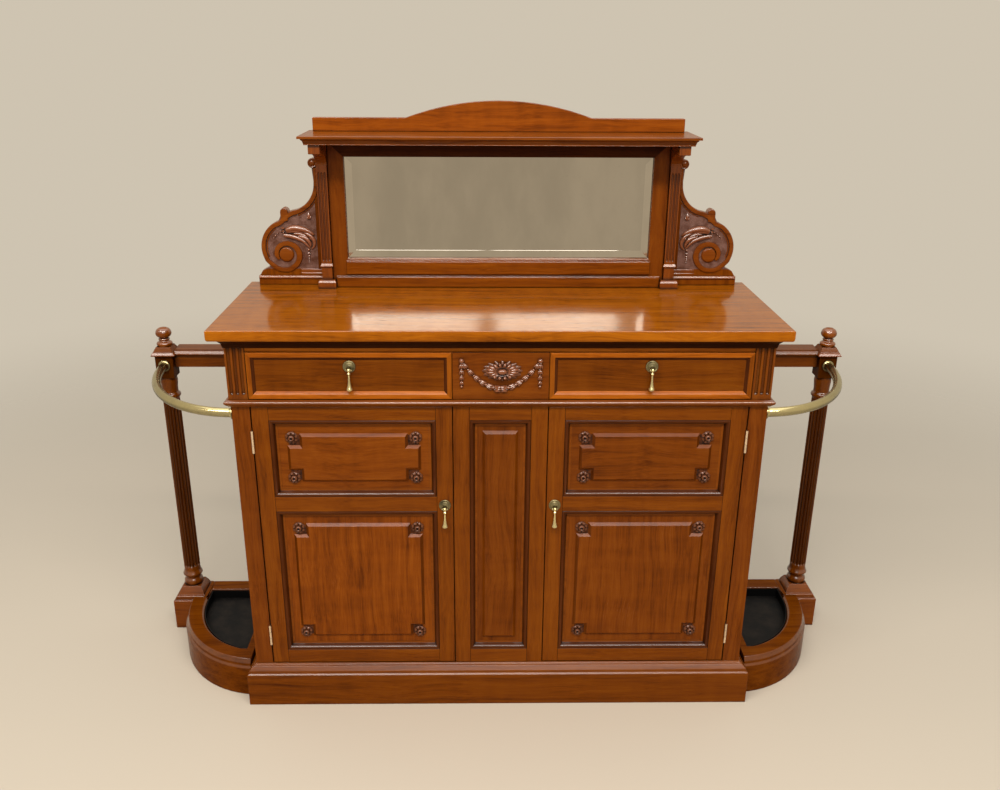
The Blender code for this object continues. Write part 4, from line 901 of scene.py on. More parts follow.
class MakeCarcass(BenchOperator):
    """Ease the boards, mouldings and plinth of the cupboard"""

    bl_idname = "cupboard.carcass"
    bl_label = "Carcass"

    def make(self, sizes):
        self.top_board()
        rail_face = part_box("left_door_frame")[0].y
        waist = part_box("waist_board")[1].z
        # Painted light and shade: the rail is brightened against the shadow of the top and darkened up towards
        # the cove
        is_rail = {"rail_across": lambda f: f.normal.y < -0.9 and mid(f).y > rail_face - 0.0008}
        is_block = {"block_fluted": lambda f: mid(f).z > waist}
        # The cove is painted near-black as shade
        ease_node("top_moulding", "cove_run", 0.0006, angle=18, others=is_rail)
        ease_node("waist_board", "waist_run", 0.0022, segments=4, angle=18)
        ease_node("plinth", "plinth_run", 0.0011, segments=3, angle=18)
        for node, way in (("back_panel", "upright"), ("bottom_board", "across"), ("inner_shelf", "across"),
                          ("drawer_divider", "deep")):
            ease_node(node, f"lining_{way}", slot="drawer_lining")
        for side, sign in SIDES:
            stile = f"{side}_front_stile"
            ease_node(f"{side}_side_panel", "walnut_upright")
            ease_node(stile, "stile_upright", 0.0006, angle=40, others=is_block,
                      cutters=self.flutes(stile, sign, waist))

    def flutes(self, node, sign, waist):
        """Rods that deepen the three flutes of a frieze block and run them up to the cove."""
        low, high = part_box(node)
        r, sink, pitch = 0.0039, 0.0036, 0.01217
        inset, margin, run = 0.02025, 0.0105, 0.12
        middle = (high.x if sign > 0 else low.x) - sign * inset
        end = flow([(0.0, 0.0), (0.5 * r, 0.12 * r), (0.87 * r, 0.5 * r), (r, r)], 3)
        profile = end + [(r, run), (0.0, run)]
        return [turn(profile, (middle + k * pitch, low.y + r - sink, waist + margin), UPWARD, 20)
                for k in (-1, 0, 1)]

    def top_board(self):
        """A board with a worn square edge, a little undercut."""
        low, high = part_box("top_board")
        edge = ((0.0062, low.z - 0.0034), (0.0028, low.z - 0.0024), (0.0008, low.z), (0.0, low.z + 0.0036),
                (0.0, high.z - 0.0022), (0.0006, high.z - 0.0009), (0.0024, high.z))
        levels = [(low.x + inset, high.x - inset, low.y + inset, high.y, up) for inset, up in edge]
        piece = dress(soften(stack(levels), 0.0004), "sunned_across", "sunned_edge")
        paint(piece, 1, lambda f: f.normal.z < 0.5)
        set_down(piece, "top_board_worn", "top_board", slot="figured_walnut")


def sight_moulding(low, high, face, sizes):
    """A mitred moulding inside a frame, worked on a block by insets and opened through the middle."""
    depth, width = sizes.sink, sizes.moulding
    run = ((0.03, -0.10), (0.03, 0.05), (0.08, 0.05), (0.10, 0.01), (0.11, -0.06), (0.10, -0.14),
           (0.07, -0.20), (0.06, -0.22), (0.05, -0.20), (0.04, -0.14), (0.02, -0.04), (0.30, -0.01))
    piece = plank((low[0], face, low[1]), (high[0], face + depth + 0.0004, high[1]))
    work_front(piece, [(width * share, depth * drop) for share, drop in run])
    pick(lambda f: f.normal.y > 0.9)
    bpy.ops.mesh.inset(thickness=width, depth=0)

    def depth_in(f):
        """How far a face lies from the ends and from the top or bottom of the block."""
        spot = mid(f)
        return [(b - a) / 2 - abs(place - (a + b) / 2) for a, b, place in zip(low, high, (spot.x, spot.z))]

    pick(lambda f: abs(f.normal.y) > 0.9 and min(depth_in(f)) > width * 1.01)
    bpy.ops.mesh.delete(type="FACE")
    pick(lambda e: e.is_boundary, "EDGE")
    bpy.ops.mesh.bridge_edge_loops()
    tidy_skin()
    close_edit()
    # The moulding is painted in the darker finishes as painted shade; its flat lip takes the panel's finish
    dress(piece, "moulding_across", "moulding_upright", "figured_across")
    paint(piece, 1, lambda f: depth_in(f)[0] < depth_in(f)[1])
    paint(piece, 2, lambda f: f.normal.y < -0.99 and mid(f).y > face + 0.95 * depth)
    return piece


def joined_frame(name, node, body, sights, sizes):
    """A frame of stiles and rails with a moulding round each sunk panel."""
    low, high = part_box(node)
    left, right = low.x + sizes.stile, high.x - sizes.stile
    ease = sizes.arris * 1.7
    parts = []
    for near, far in ((low.x, left), (right, high.x)):
        parts.append(dress(plank((near, low.y, low.z), (far, high.y, high.z), ease), "walnut_upright"))
    levels = [low.z, *[up for sight in sights for up in sight], high.z]
    for foot, head in zip(levels[::2], levels[1::2]):
        parts.append(dress(plank((left, low.y, foot), (right, high.y, head), ease), "walnut_across"))
    set_down(join(parts), f"{name}_joinery", node, body=body)
    rings = [sight_moulding((left, foot), (right, head), low.y, sizes) for foot, head in sights]
    set_down(join(rings), f"{name}_mouldings", body=body, angle=40)


def carve_rosette(sizes):
    """One rosette at the origin: a seat painted dark as shade and dirt, a saucer, eight petals and a ringed
    eye.
    """
    r = sizes.rosette
    petals = 8
    # The seat is painted dark as shade and dirt
    seat = dress(plank((-0.0060, -0.0006, -0.0060), (0.0172, 0.0006, 0.0172), 0.0003), "dark_seat")
    saucer = [(0.0, 0.0028), (0.5 * r, 0.0026), (0.8 * r, 0.0020), (0.88 * r, 0.0), (0.0, -0.0005)]
    eye = [(0.0, 0.0056), (0.10 * r, 0.0058), (0.20 * r, 0.0094), (0.32 * r, 0.0102), (0.44 * r, 0.0084),
           (0.48 * r, 0.002), (0.0, 0.001)]
    parts = [boss(saucer, HERE, 24), boss(eye, HERE, 20, 3)]
    headings = [360 * (k + 0.5) / petals for k in range(petals)]
    parts += scatter(leaf(0.66 * r, 0.60 * r, 0.0072, 0.05),
                     [lay(spoke(Vector(HERE), heading, 0.37 * r), math.radians(heading))
                      for heading in headings])
    return join([seat, *[dress(part, "rosette_walnut") for part in parts]])


def corners_of(middle, offsets):
    """The four spots round a middle, each with the way it faces."""
    return [(middle[0] + a * offsets[0], middle[1] + b * offsets[1], -a, -b)
            for a in (-1, 1) for b in (-1, 1)]


class MakeDoors(BenchOperator):
    """Join the two doors, ease their panels and set the carved rosettes"""

    bl_idname = "cupboard.doors"
    bl_label = "Doors"

    def make(self, sizes):
        rosette = carve_rosette(sizes)
        # Painted shade on the sideways bevels of the fields
        is_bevel = {"bevel_upright": lambda f: abs(f.normal.x) > 0.3 and f.normal.y < -0.2}
        for side, _ in SIDES:
            body = f"{side}_door"
            low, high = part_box(f"{side}_door_frame")
            upper_top = high.z - sizes.top_rail
            upper_low = upper_top - sizes.upper_sight
            sights = ((low.z + sizes.low_rail, upper_low - sizes.middle_rail), (upper_low, upper_top))
            joined_frame(body, f"{side}_door_frame", body, sights, sizes)
            # The right door's boards get darker finishes than the left's, as painted shade
            for level in ("upper", "lower"):
                ease_node(f"{side}_door_{level}_panel", f"{side}_{level}_board", 0.0007, body,
                          "figured_walnut", others=is_bevel)
            middle = (low.x + high.x) / 2
            ground = low.y + sizes.sink + 0.0006
            spots = corners_of((middle, sum(sights[1]) / 2), (0.1315, 0.0468))
            spots += corners_of((middle, sum(sights[0]) / 2), (0.1305, 0.1345))
            for number, (across, up, a, b) in enumerate(spots, 1):
                place = Matrix.Translation((across, ground, up)) @ Matrix.Diagonal((a, 1, b, 1))
                set_down(copy_of(rosette, place), f"{body}_rosette_{number}", body=body, angle=50)
        throw_away(rosette)


class MakeCentre(BenchOperator):
    """Join the fixed centre frame and ease its panel"""

    bl_idname = "cupboard.centre"
    bl_label = "Centre panel"

    def make(self, sizes):
        low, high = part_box("left_door_frame")
        sight = (low.z + sizes.low_rail, high.z - sizes.top_rail)
        joined_frame("centre", "centre_frame", "cupboard", (sight,), sizes)
        ease_node("centre_panel", "centre_upright", 0.0007, slot="figured_walnut")


class MakeDrawers(BenchOperator):
    """Work the drawer fronts with their flat bead, and ease the drawer boxes"""

    bl_idname = "cupboard.drawers"
    bl_label = "Drawers"

    def make(self, sizes):
        for side, _ in SIDES:
            self.front(side, sizes)
            ease_node(f"{side}_drawer_box", "lining_deep", body=f"{side}_drawer", slot="drawer_lining")

    def front(self, side, sizes):
        """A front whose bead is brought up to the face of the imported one, with a moulded slope inside it."""
        low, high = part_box(f"{side}_drawer_front")
        start = 0.0013
        piece = plank((low.x, low.y + start, low.z), (high.x, high.y, high.z))
        work_front(piece, ((0.0004, 0.0007), (0.0008, 0.0006), (sizes.bead, 0.0), (0.0008, -0.0004),
                           (0.0020, -0.0016), (0.0010, -0.0002), (0.0020, -0.0016), (0.0007, -0.0010)))
        close_edit()
        dress(piece, "drawer_across", "bead_across", "bead_upright", "moulding_upright", "moulding_across")
        middle = (low + high) / 2
        half = (high - low) / 2
        slope, panel = 0.0102, 0.017

        def depth_in(f):
            """How far a face lies from the ends and from the top or bottom of the front."""
            spot = mid(f) - middle
            return half.x - abs(spot.x), half.z - abs(spot.z)

        def is_end(f):
            return depth_in(f)[0] < depth_in(f)[1]

        paint(piece, 1, lambda f: min(depth_in(f)) < panel)
        paint(piece, 2, lambda f: min(depth_in(f)) < panel and is_end(f))
        # The end and top slopes are painted dark as shade
        paint(piece, 3, lambda f: slope < min(depth_in(f)) < panel and is_end(f))
        paint(piece, 4, lambda f: slope < min(depth_in(f)) < panel and not is_end(f) and mid(f).z > middle.z)
        set_down(piece, f"{side}_drawer_front_worked", f"{side}_drawer_front", body=f"{side}_drawer",
                 slot="figured_walnut", angle=25)


class MakePulls(BenchOperator):
    """Turn the plates and drops of the four brass pulls"""

    bl_idname = "cupboard.pulls"
    bl_label = "Drop pulls"

    def make(self, sizes):
        for side, _ in SIDES:
            for front in ("door", "drawer"):
                name = f"{side}_{front}"
                low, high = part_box(f"{name}_pull_plate")
                seat = Vector(((low.x + high.x) / 2, high.y, high.z - sizes.plate))
                pin = seat + Vector((0, -0.0102, -0.005))
                self.plate(name, seat, pin, sizes.plate)
                self.drop(name, pin, sizes.drop)

    def plate(self, name, seat, pin, r):
        """A dished plate with two ears and the pin between them."""
        dish = [(0.0, 0.0044), (0.22, 0.0042), (0.40, 0.0034), (0.58, 0.0030), (0.64, 0.0020), (0.74, 0.0016),
                (0.84, 0.0021), (0.93, 0.0019), (1.0, 0.0010), (1.0, 0.0)]
        parts = [turn(flow([(r * share, rise) for share, rise in dish], 3) + [(0.0, 0.0)], seat, FORWARD, 40)]
        half, thick, gap = 0.0028, 0.0012, 0.0046
        for end in (-1, 1):
            near = pin.x + end * gap
            ear = plank((near, pin.y - half, pin.z - half),
                        (near + end * thick, seat.y - 0.0008, pin.z + half))
            open_edit(ear)
            pick(lambda e: all(v.co.y < pin.y for v in e.verts)
                 and abs(e.verts[0].co.x - e.verts[1].co.x) > 0.0005, "EDGE")
            bpy.ops.mesh.bevel(offset=0.0026, segments=5, affect="EDGES")
            close_edit()
            parts.append(ear)
        rivet = [(0.0, -0.0066), (0.0011, -0.0064), (0.0015, -0.0058), (0.0012, -0.0056), (0.0012, 0.0056),
                 (0.0015, 0.0058), (0.0011, 0.0064), (0.0, 0.0066)]
        parts.append(turn(rivet, pin, (1, 0, 0), 14))
        set_down(dress_all(parts, "dull_brass"), f"{name}_pull_rosette", f"{name}_pull_plate", body=name,
                 slot="aged_brass", angle=40)

    def drop(self, name, pin, long):
        """A ball on the pin and under it a stem that swells to a bulb."""
        ball, bulb = 0.0046, 0.0065
        head = [(0.0, 1.0), (0.55, 0.84), (0.9, 0.42), (1.0, 0.0), (0.9, -0.42), (0.58, -0.82), (0.50, -1.0)]
        stem = [(0.62, 0.05), (0.66, 0.075), (0.36, 0.13), (0.31, 0.22), (0.34, 0.36), (0.44, 0.54),
                (0.70, 0.74), (0.96, 0.85), (1.0, 0.89), (0.90, 0.935), (0.50, 0.965), (0.34, 0.975),
                (0.30, 0.985), (0.14, 0.998), (0.0, 1.0)]
        profile = [(ball * width, ball * share) for width, share in head]
        profile += [(bulb * width, -ball - (long - ball) * share) for width, share in stem]
        piece = dress(turn(flow(profile, 3), pin, UPWARD, 28), "aged_brass")
        set_down(piece, f"{name}_pull_weight", f"{name}_pull_drop", body=f"{name}_drop", slot="aged_brass",
                 angle=50)


class MakeHinges(BenchOperator):
    """Ease the brass leaves and knuckles of the four butt hinges"""

    bl_idname = "cupboard.hinges"
    bl_label = "Hinges"

    def make(self, sizes):
        for side, _ in SIDES:
            for level in ("upper", "lower"):
                for hold, body in (("fixed", "cupboard"), ("door", f"{side}_door")):
                    ease_node(f"{side}_{level}_hinge_{hold}_leaf", "hinge_brass", 0.00015, body,
                              "aged_brass", angle=45)


def husk():
    """One bell husk at the origin, about 12 mm long along X: a tongue, two side leaves and a cup."""
    parts = [leaf(0.0122, 0.0050, 0.0046, 0.05, 0.0)]
    for end in (-1, 1):
        parts.append(copy_of(parts[0], lay((0.0003, 0, end * 0.0013), end * 0.19, (0.94, 0.86, 0.92))))
    parts.append(boss([(0.0, 0.0040), (0.0014, 0.0036), (0.0023, 0.0022), (0.0023, 0.0), (0.0, -0.0004)],
                      (0.0002, 0, 0), 12))
    return join(parts)


class MakeFrieze(BenchOperator):
    """Ease the frieze panel and carve its sunflower, swag and pendants"""

    bl_idname = "cupboard.frieze"
    bl_label = "Frieze carving"

    def make(self, sizes):
        ease_node("frieze_panel", "frieze_walnut", slot="figured_walnut")
        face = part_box("frieze_panel")[0].y + 0.0004
        centre = Vector((0.003, face, 0.822))
        carving = [dress(part, "carved_walnut") for part in self.sunflower(centre) + self.swag(face)]
        # Painted shade: the low back row of petals is painted darker
        flat = self.petals(centre, inner=0.42, outer=1.0, wide=0.0112, high=0.0030, rise=0.0030, shift=0.0)
        shaded_petals = [dress(petal, "rosette_walnut") for petal in flat]
        set_down(join(carving + shaded_petals), "frieze_carving", angle=50)

    def petals(self, centre, inner, outer, wide, high, rise, shift):
        """Petals round an oval, from inner to outer as shares of its reach, falling by rise to their tips."""
        places = []
        count, half_width, half_height = 16, 0.0430, 0.0235
        for k in range(count):
            angle = 2 * math.pi * (k + shift) / count
            reach = Vector((half_width * math.cos(angle), 0, half_height * math.sin(angle)))
            heading = math.atan2(reach.z, reach.x)
            long = reach.length * (outer - inner)
            scale = (long, high, wide * (0.66 + 0.34 * abs(math.cos(angle))))
            root = centre + reach * inner + Vector((0, -rise, 0))
            places.append(lay(root, heading, scale, math.atan2(rise, long)))
        return scatter(leaf(1.0, 1.0, 1.0, 0.25, 0.0), places)

    def sunflower(self, centre):
        """A row of raised petals round a beaded eye."""
        parts = self.petals(centre, inner=0.38, outer=0.84, wide=0.0096, high=0.0058, rise=0.0072, shift=0.5)
        eye = boss([(0.0, 0.0078), (0.30, 0.0076), (0.50, 0.0062), (0.56, 0.0036), (0.66, 0.0030),
                    (0.86, 0.0044), (1.0, 0.0040), (1.0, 0.0), (0.0, -0.0005)], HERE, 28)
        parts += scatter(eye, [Matrix.Translation(centre) @ Matrix.Diagonal((0.0176, 1.75, 0.0108, 1))])
        seed = boss([(0.0, 0.0032), (0.0016, 0.0026), (0.0025, 0.0006), (0.0022, -0.003), (0.0, -0.003)],
                    HERE, 12)
        beads = ((-0.0160, -0.0098), (-0.0056, -0.0124), (0.0052, -0.0124), (0.0152, -0.0098))
        grow = Matrix.Diagonal((1.35, 1.35, 1.35, 1))
        return parts + scatter(seed, [Matrix.Translation(centre + Vector((across, -0.0112, up))) @ grow
                                      for across, up in beads])

    def swag(self, face):
        """Bell husks strung between two pendants, larger towards a leafy knot in the middle."""
        parts = []
        form = husk()
        half, hang, top, end = 0.0775, 0.0540, 0.8375, 0.081
        count, steps = 6, 60
        fine = [Vector((half * (1 - k / steps), 0, top - hang * (1 - (1 - k / steps) ** 2)))
                for k in range(steps + 1)]
        total = sum((b - a).length for a, b in zip(fine, fine[1:]))
        for side in (-1, 1):
            gone, number = 0.0, 0
            for near, far in zip(fine, fine[1:]):
                if gone >= number * total / count and number < count:
                    heading = math.atan2(far.z - near.z, far.x - near.x)
                    grow = 0.76 + 0.38 * number / count
                    matrix = lay((near.x, face, near.z), heading, (grow * 1.50, grow * 1.36, grow * 1.40))
                    parts.append(copy_of(form, MIRRORED @ matrix if side < 0 else matrix))
                    number += 1
                gone += (far - near).length
            parts.append(boss([(0.0, 0.0074), (0.0030, 0.0066), (0.0050, 0.0042), (0.0052, 0.0018),
                               (0.0040, 0.0), (0.0, 0.0)], (side * end, face, 0.8440), 18))
            for up, grow in ((0.8375, 0.92), (0.8240, 0.84), (0.8110, 0.78), (0.7990, 0.66)):
                matrix = lay((side * end, face, up), -math.pi / 2, (grow * 1.16, grow * 1.25, grow * 1.34))
                parts.append(copy_of(form, matrix))
            parts.append(boss([(0.0, 0.0050), (0.0020, 0.0042), (0.0030, 0.0022), (0.0028, 0.0), (0.0, 0.0)],
                              (side * end, face, 0.7878), 14))
        throw_away(form)
        tilt_up, apart = 0.42, 0.0022
        knot = [(apart, tilt_up), (-apart, math.pi - tilt_up), (apart, -tilt_up), (-apart, math.pi + tilt_up)]
        return parts + scatter(leaf(0.0135, 0.0078, 0.0096, 0.1),
                               [lay((start, face, top - hang), spread) for start, spread in knot])


class MakeMirror(BenchOperator):
    """Ease the mirror frame, its sill, glass, shelf and gallery"""

    bl_idname = "cupboard.mirror"
    bl_label = "Mirror back"

    def make(self, sizes):
        low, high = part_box("mirror_glass")
        sight, shaded = high.x - 0.0097, high.z - 0.012
        ease_node("mirror_frame", "mirror_across", 0.0017, segments=3,
                  others={"mirror_upright": lambda f: abs(mid(f).x) > sight,
                          "shaded_across": lambda f: mid(f).z > shaded})
        self.silvered(low, high)
        ease_node("mirror_backboard", "lining_across", slot="drawer_lining")
        self.cornice()
        ease_node("gallery_board", "gallery_across", 0.0010, slot="figured_walnut")

    def cornice(self):
        """The shelf: a quirk is cut under its nose and a fillet run along its foot."""
        low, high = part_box("cornice_shelf")
        foot, head = high.z - 0.0078, high.z - 0.0056
        sink, past, inset = 0.0062, 0.01, 0.0115
        left, right, front, back = low.x - past, high.x + past, low.y - past, high.y + past
        cutters = [plank((left, front, foot), (right, low.y + sink, head)),
                   plank((left, front, foot), (low.x + sink, back, head)),
                   plank((high.x - sink, front, foot), (right, back, head))]
        ease_node("cornice_shelf", "cornice_run", 0.0006, angle=20, cutters=cutters)
        fillet = nosing((low.x + inset, high.x - inset), low.y + 0.0112, low.y + 0.020, low.z + 0.0030,
                        0.0032)
        set_down(dress(fillet, "cornice_run"), "cornice_fillet")

    def silvered(self, low, high):
        """Silvered glass; its bevels look inwards, as seen through the wedge, and three have a bright ridge."""
        rebate, bevel, ridge = 0.0103, 0.0160, 0.00016
        rim = rebate + bevel
        piece = plank(low, high)
        work_front(piece, ((rebate, 0.0), (bevel, -0.00105), (0.0005, -ridge)))
        pick(lambda v: abs(v.co.z - high.z + rim) < 0.0002, "VERT")
        bpy.ops.transform.translate(value=(0, ridge, 0))
        close_edit()
        dress(piece, "silvered_glass", "bevelled_glass")

        def is_bevel(f):
            spot = mid(f)
            return f.normal.y < -0.5 and min(spot.x - low.x, high.x - spot.x, spot.z - low.z) < rim - 0.0005

        paint(piece, 1, is_bevel)
        set_down(piece, "mirror_glass_silvered", "mirror_glass", slot="mirror_glass", angle=1)


class MakePilasters(BenchOperator):
    """Model the fluted pilasters with their base blocks and corbels"""

    bl_idname = "cupboard.pilasters"
    bl_label = "Pilasters"

    def make(self, sizes):
        face, half = WALL - 0.060, 0.012
        pitch, level, below = 0.0068, 1.0975, 0.1205
        foot = [(0.0, 0.0), (0.0013, 0.0008), (0.0023, 0.0027), (0.0027, 0.0055)]
        head = [(0.0027, 0.078), (0.0023, 0.0808), (0.0013, 0.0827), (0.0, 0.0835)]
        flute = flow([(r, up - below) for r, up in foot], 2) + [(0.0027, 0.075)] + flow(head, 2)
        base = ((0.0205, 0.070, 0.0), (0.0205, 0.070, 0.0128), (0.0203, 0.0697, 0.0140),
                (0.0186, 0.0672, 0.0183), (0.0178, 0.0660, 0.0190), (0.0150, 0.065, 0.0195))
        band = ((0.0118, 0.0598, 0.9640), (0.0138, 0.0625, 0.9650), (0.0140, 0.0628, 0.9666),
                (0.0128, 0.0605, 0.9712), (0.0118, 0.0598, 0.9722))
        for side, _ in SIDES:
            low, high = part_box(f"{side}_pilaster")
            middle = (low.x + high.x) / 2
            shaft = plank((middle - half, face, low.z), (middle + half, high.y, high.z), 0.0007)
            for k in (-1, 0, 1):
                cut_away(shaft, turn(flute, (middle + k * pitch, face - 0.0006, level), UPWARD, 16))
            parts = [shaft, soften(self.block(middle, base, low.z), 0.0006), self.block(middle, band, 0.0),
                     self.corbel(middle, half, face, high.z)]
            set_down(dress_all(parts, "pilaster_upright"), f"{side}_pilaster_worked", f"{side}_pilaster")

    def block(self, middle, profile, foot):
        """Square work round the shaft, each level half its width, its depth off the wall and its height."""
        back = WALL - 0.0505
        return stack([(middle - half, middle + half, WALL - deep, back, foot + up)
                      for half, deep, up in profile])

    def corbel(self, middle, half, face, top):
        """A block that sweeps forward under the shelf."""
        front, chin, fall, lip = WALL - 0.143, top - 0.019, 0.034, 0.006
        sweep = [(face + lip, chin - fall), (face, chin - fall)]
        for k in range(1, 9):
            angle = math.radians(75 * k / 8)
            sweep.append((face + (front + lip - face) * (1 - math.cos(angle)),
                          chin - fall * (1 - math.sin(angle))))
        sweep += [(front + 0.0045, chin - 0.0012), (front, chin), (front, top), (face + lip, top)]
        outline = [(middle - half - 0.0006, y, z) for y, z in sweep]
        return soften(cut_out(outline, (2 * half + 0.0012, 0, 0)), 0.0008)


def spoke(centre, degrees, radius):
    """A spot on an upright face, so far from a centre and at so many degrees."""
    angle = math.radians(degrees)
    return centre + Vector((math.cos(angle), 0, math.sin(angle))) * radius


class MakeBrackets(BenchOperator):
    """Cut and carve the scroll brackets at the ends of the mirror back"""

    bl_idname = "cupboard.brackets"
    bl_label = "Scroll brackets"

    def make(self, sizes):
        plinth = 0.953
        is_ground = {"punched_ground": lambda f: f.normal.y < -0.9 and mid(f).z > plinth}
        carving = self.carve(WALL - 0.026)
        for (side, _), piece in zip(SIDES, (copy_of(carving, MIRRORED), carving)):
            ease_node(f"{side}_scroll_bracket", "walnut_upright", 0.0009, level=plinth, others=is_ground)
            set_down(piece, f"{side}_bracket_carving", angle=50)

    def carve(self, face):
        """Rim, volute, leaves and husks of the right bracket, raised on its face."""
        eye = Vector((0.497, face, 0.9868))
        scroll = Vector((0.4876, face, 1.003))
        sweep = Vector((0.4896, face, 1.153))
        plain = [self.rim(eye, scroll, sweep, face)]
        bead = [spoke(scroll, degrees, 0.0535) for degrees in range(56, -34, -10)]
        hollow = [spoke(sweep, degrees, 0.0790) for degrees in range(252, 203, -8)]
        for run in (bead, hollow):
            line = flow(run, 2)
            plain.append(rod(line, [0.0015] * len(line), 2))
        plain.append(boss([(0.0, 0.0042), (0.009, 0.0041), (0.0144, 0.0037), (0.0162, 0.0026), (0.0168, 0.0),
                           (0.0, -0.001)], eye, 32, 3))
        plain.append(boss([(0.0, 0.0060), (0.004, 0.0058), (0.0062, 0.0040), (0.0072, 0.0040),
                           (0.0092, 0.0052), (0.0104, 0.0030), (0.0104, 0.0), (0.0, -0.001)],
                          (0.4236, face, 1.1965), 24))
        plain.append(self.ear(face + 0.001))
        foot = ((0.0285, 0.9362), (0.0285, 0.9425), (0.0275, 0.9440), (0.0275, 0.9505), (0.0262, 0.9530))
        levels = [(0.4118, 0.4650, WALL - front, WALL - 0.0245, up) for front, up in foot]
        plain.append(soften(stack(levels), 0.0006))
        plain.append(nosing((0.4116, 0.5640), WALL - 0.0324, WALL - 0.0262, 0.9372, 0.0072, 28))
        # Painted shade: a strip beside the pilaster, painted dark
        border = plank((0.4114, face - 0.0014, 0.9525), (0.4236, face + 0.0010, 1.1300), 0.0006)
        return join([*[dress(part, "rim_walnut") for part in plain], dress(border, "border_upright"),
                     *[dress(part, "carved_walnut") for part in self.foliage(face)]])

    def rim(self, eye, scroll, sweep, face):
        """The raised edge: down the sweep, over the shoulder and round the scroll into its coil."""
        rim = [Vector((0.4178, face, 1.186)), Vector((0.4176, face, 1.168))]
        rim += [spoke(sweep, degrees, 0.0712) for degrees in range(180, 263, 10)]
        rim += [Vector((0.4930, face, 1.0735)), Vector((0.5060, face, 1.0610))]
        rim += [spoke(scroll, degrees, 0.0613) for degrees in range(58, -37, -10)]
        # Degrees round the eye, distance from it and how much fuller the coil is there
        coil = ((-58, 0.0395, 0.0), (-90, 0.0361, 0.0002), (-115, 0.0338, 0.0006), (-140, 0.0322, 0.0011),
                (-165, 0.0310, 0.0016), (-190, 0.0300, 0.0018), (-220, 0.0286, 0.0014),
                (-250, 0.0268, 0.0008), (-280, 0.0254, 0.0005), (-310, 0.0244, 0.0006),
                (-340, 0.0234, 0.0006), (-370, 0.0222, 0.0001), (-395, 0.0206, -0.0020))
        swells = [(0.0, 0, 0)] * len(rim) + [(swell, 0, 0) for _, _, swell in coil]
        rim += [spoke(eye, degrees, radius) for degrees, radius, _ in coil]
        widths = [0.0055 + spot.x for spot in flow(swells, 3)]
        return rod(flow(rim, 3), widths, 5, None, face - 0.0036)

    def ear(self, level):
        """The small round-headed ear that stands on the shoulder."""
        crown = Vector((0.4958, level, 1.0858))
        outline = [(0.4880, level, 1.0660), (0.4868, level, 1.0840)]
        outline += [spoke(crown, degrees, 0.0088) for degrees in range(180, -1, -20)]
        outline += [(0.5048, level, 1.0840), (0.5040, level, 1.0600)]
        return soften(cut_out(outline, (0, -0.0046, 0)), 0.0016, 3)

    def blade(self, run, face, wide):
        """One long lobe: thin at its root, full in the middle and pointed."""
        line = flow([(x, face - 0.0008, z) for x, z in run], 5)
        last = len(line) - 1
        radii = [wide * max(0.10, math.sin(math.pi * (0.20 + 0.76 * k / last)) ** 0.7)
                 for k in range(last + 1)]
        return rod(line, radii, 4, (face, 1.05))

    def foliage(self, face):
        """A long curled leaf over the volute, its small lobes and berries, a bud and a string of husks."""
        blades = (
            (0.008, (0.4935, 1.0430), (0.4790, 1.0478), (0.4630, 1.0474), (0.4465, 1.0425), (0.4290, 1.0325)),
            (0.0056, (0.4925, 1.0400), (0.4780, 1.0425), (0.4640, 1.0405), (0.4520, 1.0350)),
            (0.005, (0.4760, 1.0360), (0.4620, 1.0345), (0.4500, 1.0290), (0.4430, 1.0215)),
            (0.005, (0.4530, 1.0385), (0.4390, 1.0310), (0.4305, 1.0195), (0.4305, 1.0080), (0.4375, 0.9985)),
            (0.0054, (0.4660, 1.0300), (0.4500, 1.0250), (0.4410, 1.0150), (0.4388, 1.0040)),
            (0.0058, (0.500, 1.0320), (0.4850, 1.0300), (0.4680, 1.0250), (0.4535, 1.0165), (0.4400, 1.0010)))
        parts = [self.blade(run, face, wide) for wide, *run in blades]
        lobes = ((0.4960, 1.0470, 20, 0.0090), (0.4960, 1.0440, -25, 0.0090), (0.4660, 1.0485, 192, 0.0110),
                 (0.4520, 1.0445, 208, 0.0110), (0.4400, 1.0290, 238, 0.0090), (0.4720, 1.0262, 215, 0.0090),
                 (0.4385, 1.0690, 88, 0.0140), (0.4385, 1.0690, 120, 0.0085), (0.4385, 1.0690, 50, 0.0080))
        husks = ((0.9930, 1.0), (0.9860, 0.86), (0.9800, 0.72), (0.9750, 0.60), (0.9705, 0.48))
        places = [lay((across, face, up), math.radians(degrees), (long * 1.2, 0.0060, long * 0.62))
                  for across, up, degrees, long in lobes]
        places += [lay((0.4440, face, up), -math.pi / 2, (0.0078 * grow, 0.0048 * grow, 0.0070 * grow))
                   for up, grow in husks]
        parts += scatter(leaf(1.0, 1.0, 1.0, 0.25), places)
        berry = boss([(0.0, 0.0050), (0.0016, 0.0044), (0.0026, 0.0022), (0.0025, 0.0), (0.0, -0.0005)],
                     HERE, 12)
        berries = ((0.5000, 1.0372, 1.0), (0.4955, 1.0290, 1.1), (0.5060, 1.0410, 0.8),
                   (0.5130, 1.0370, 0.75), (0.5190, 1.0310, 0.9), (0.5230, 1.0250, 0.7),
                   (0.4435, 0.9985, 1.2))
        return parts + scatter(berry, [lay((across, face, up), 0.0, (grow,) * 3)
                                       for across, up, grow in berries])


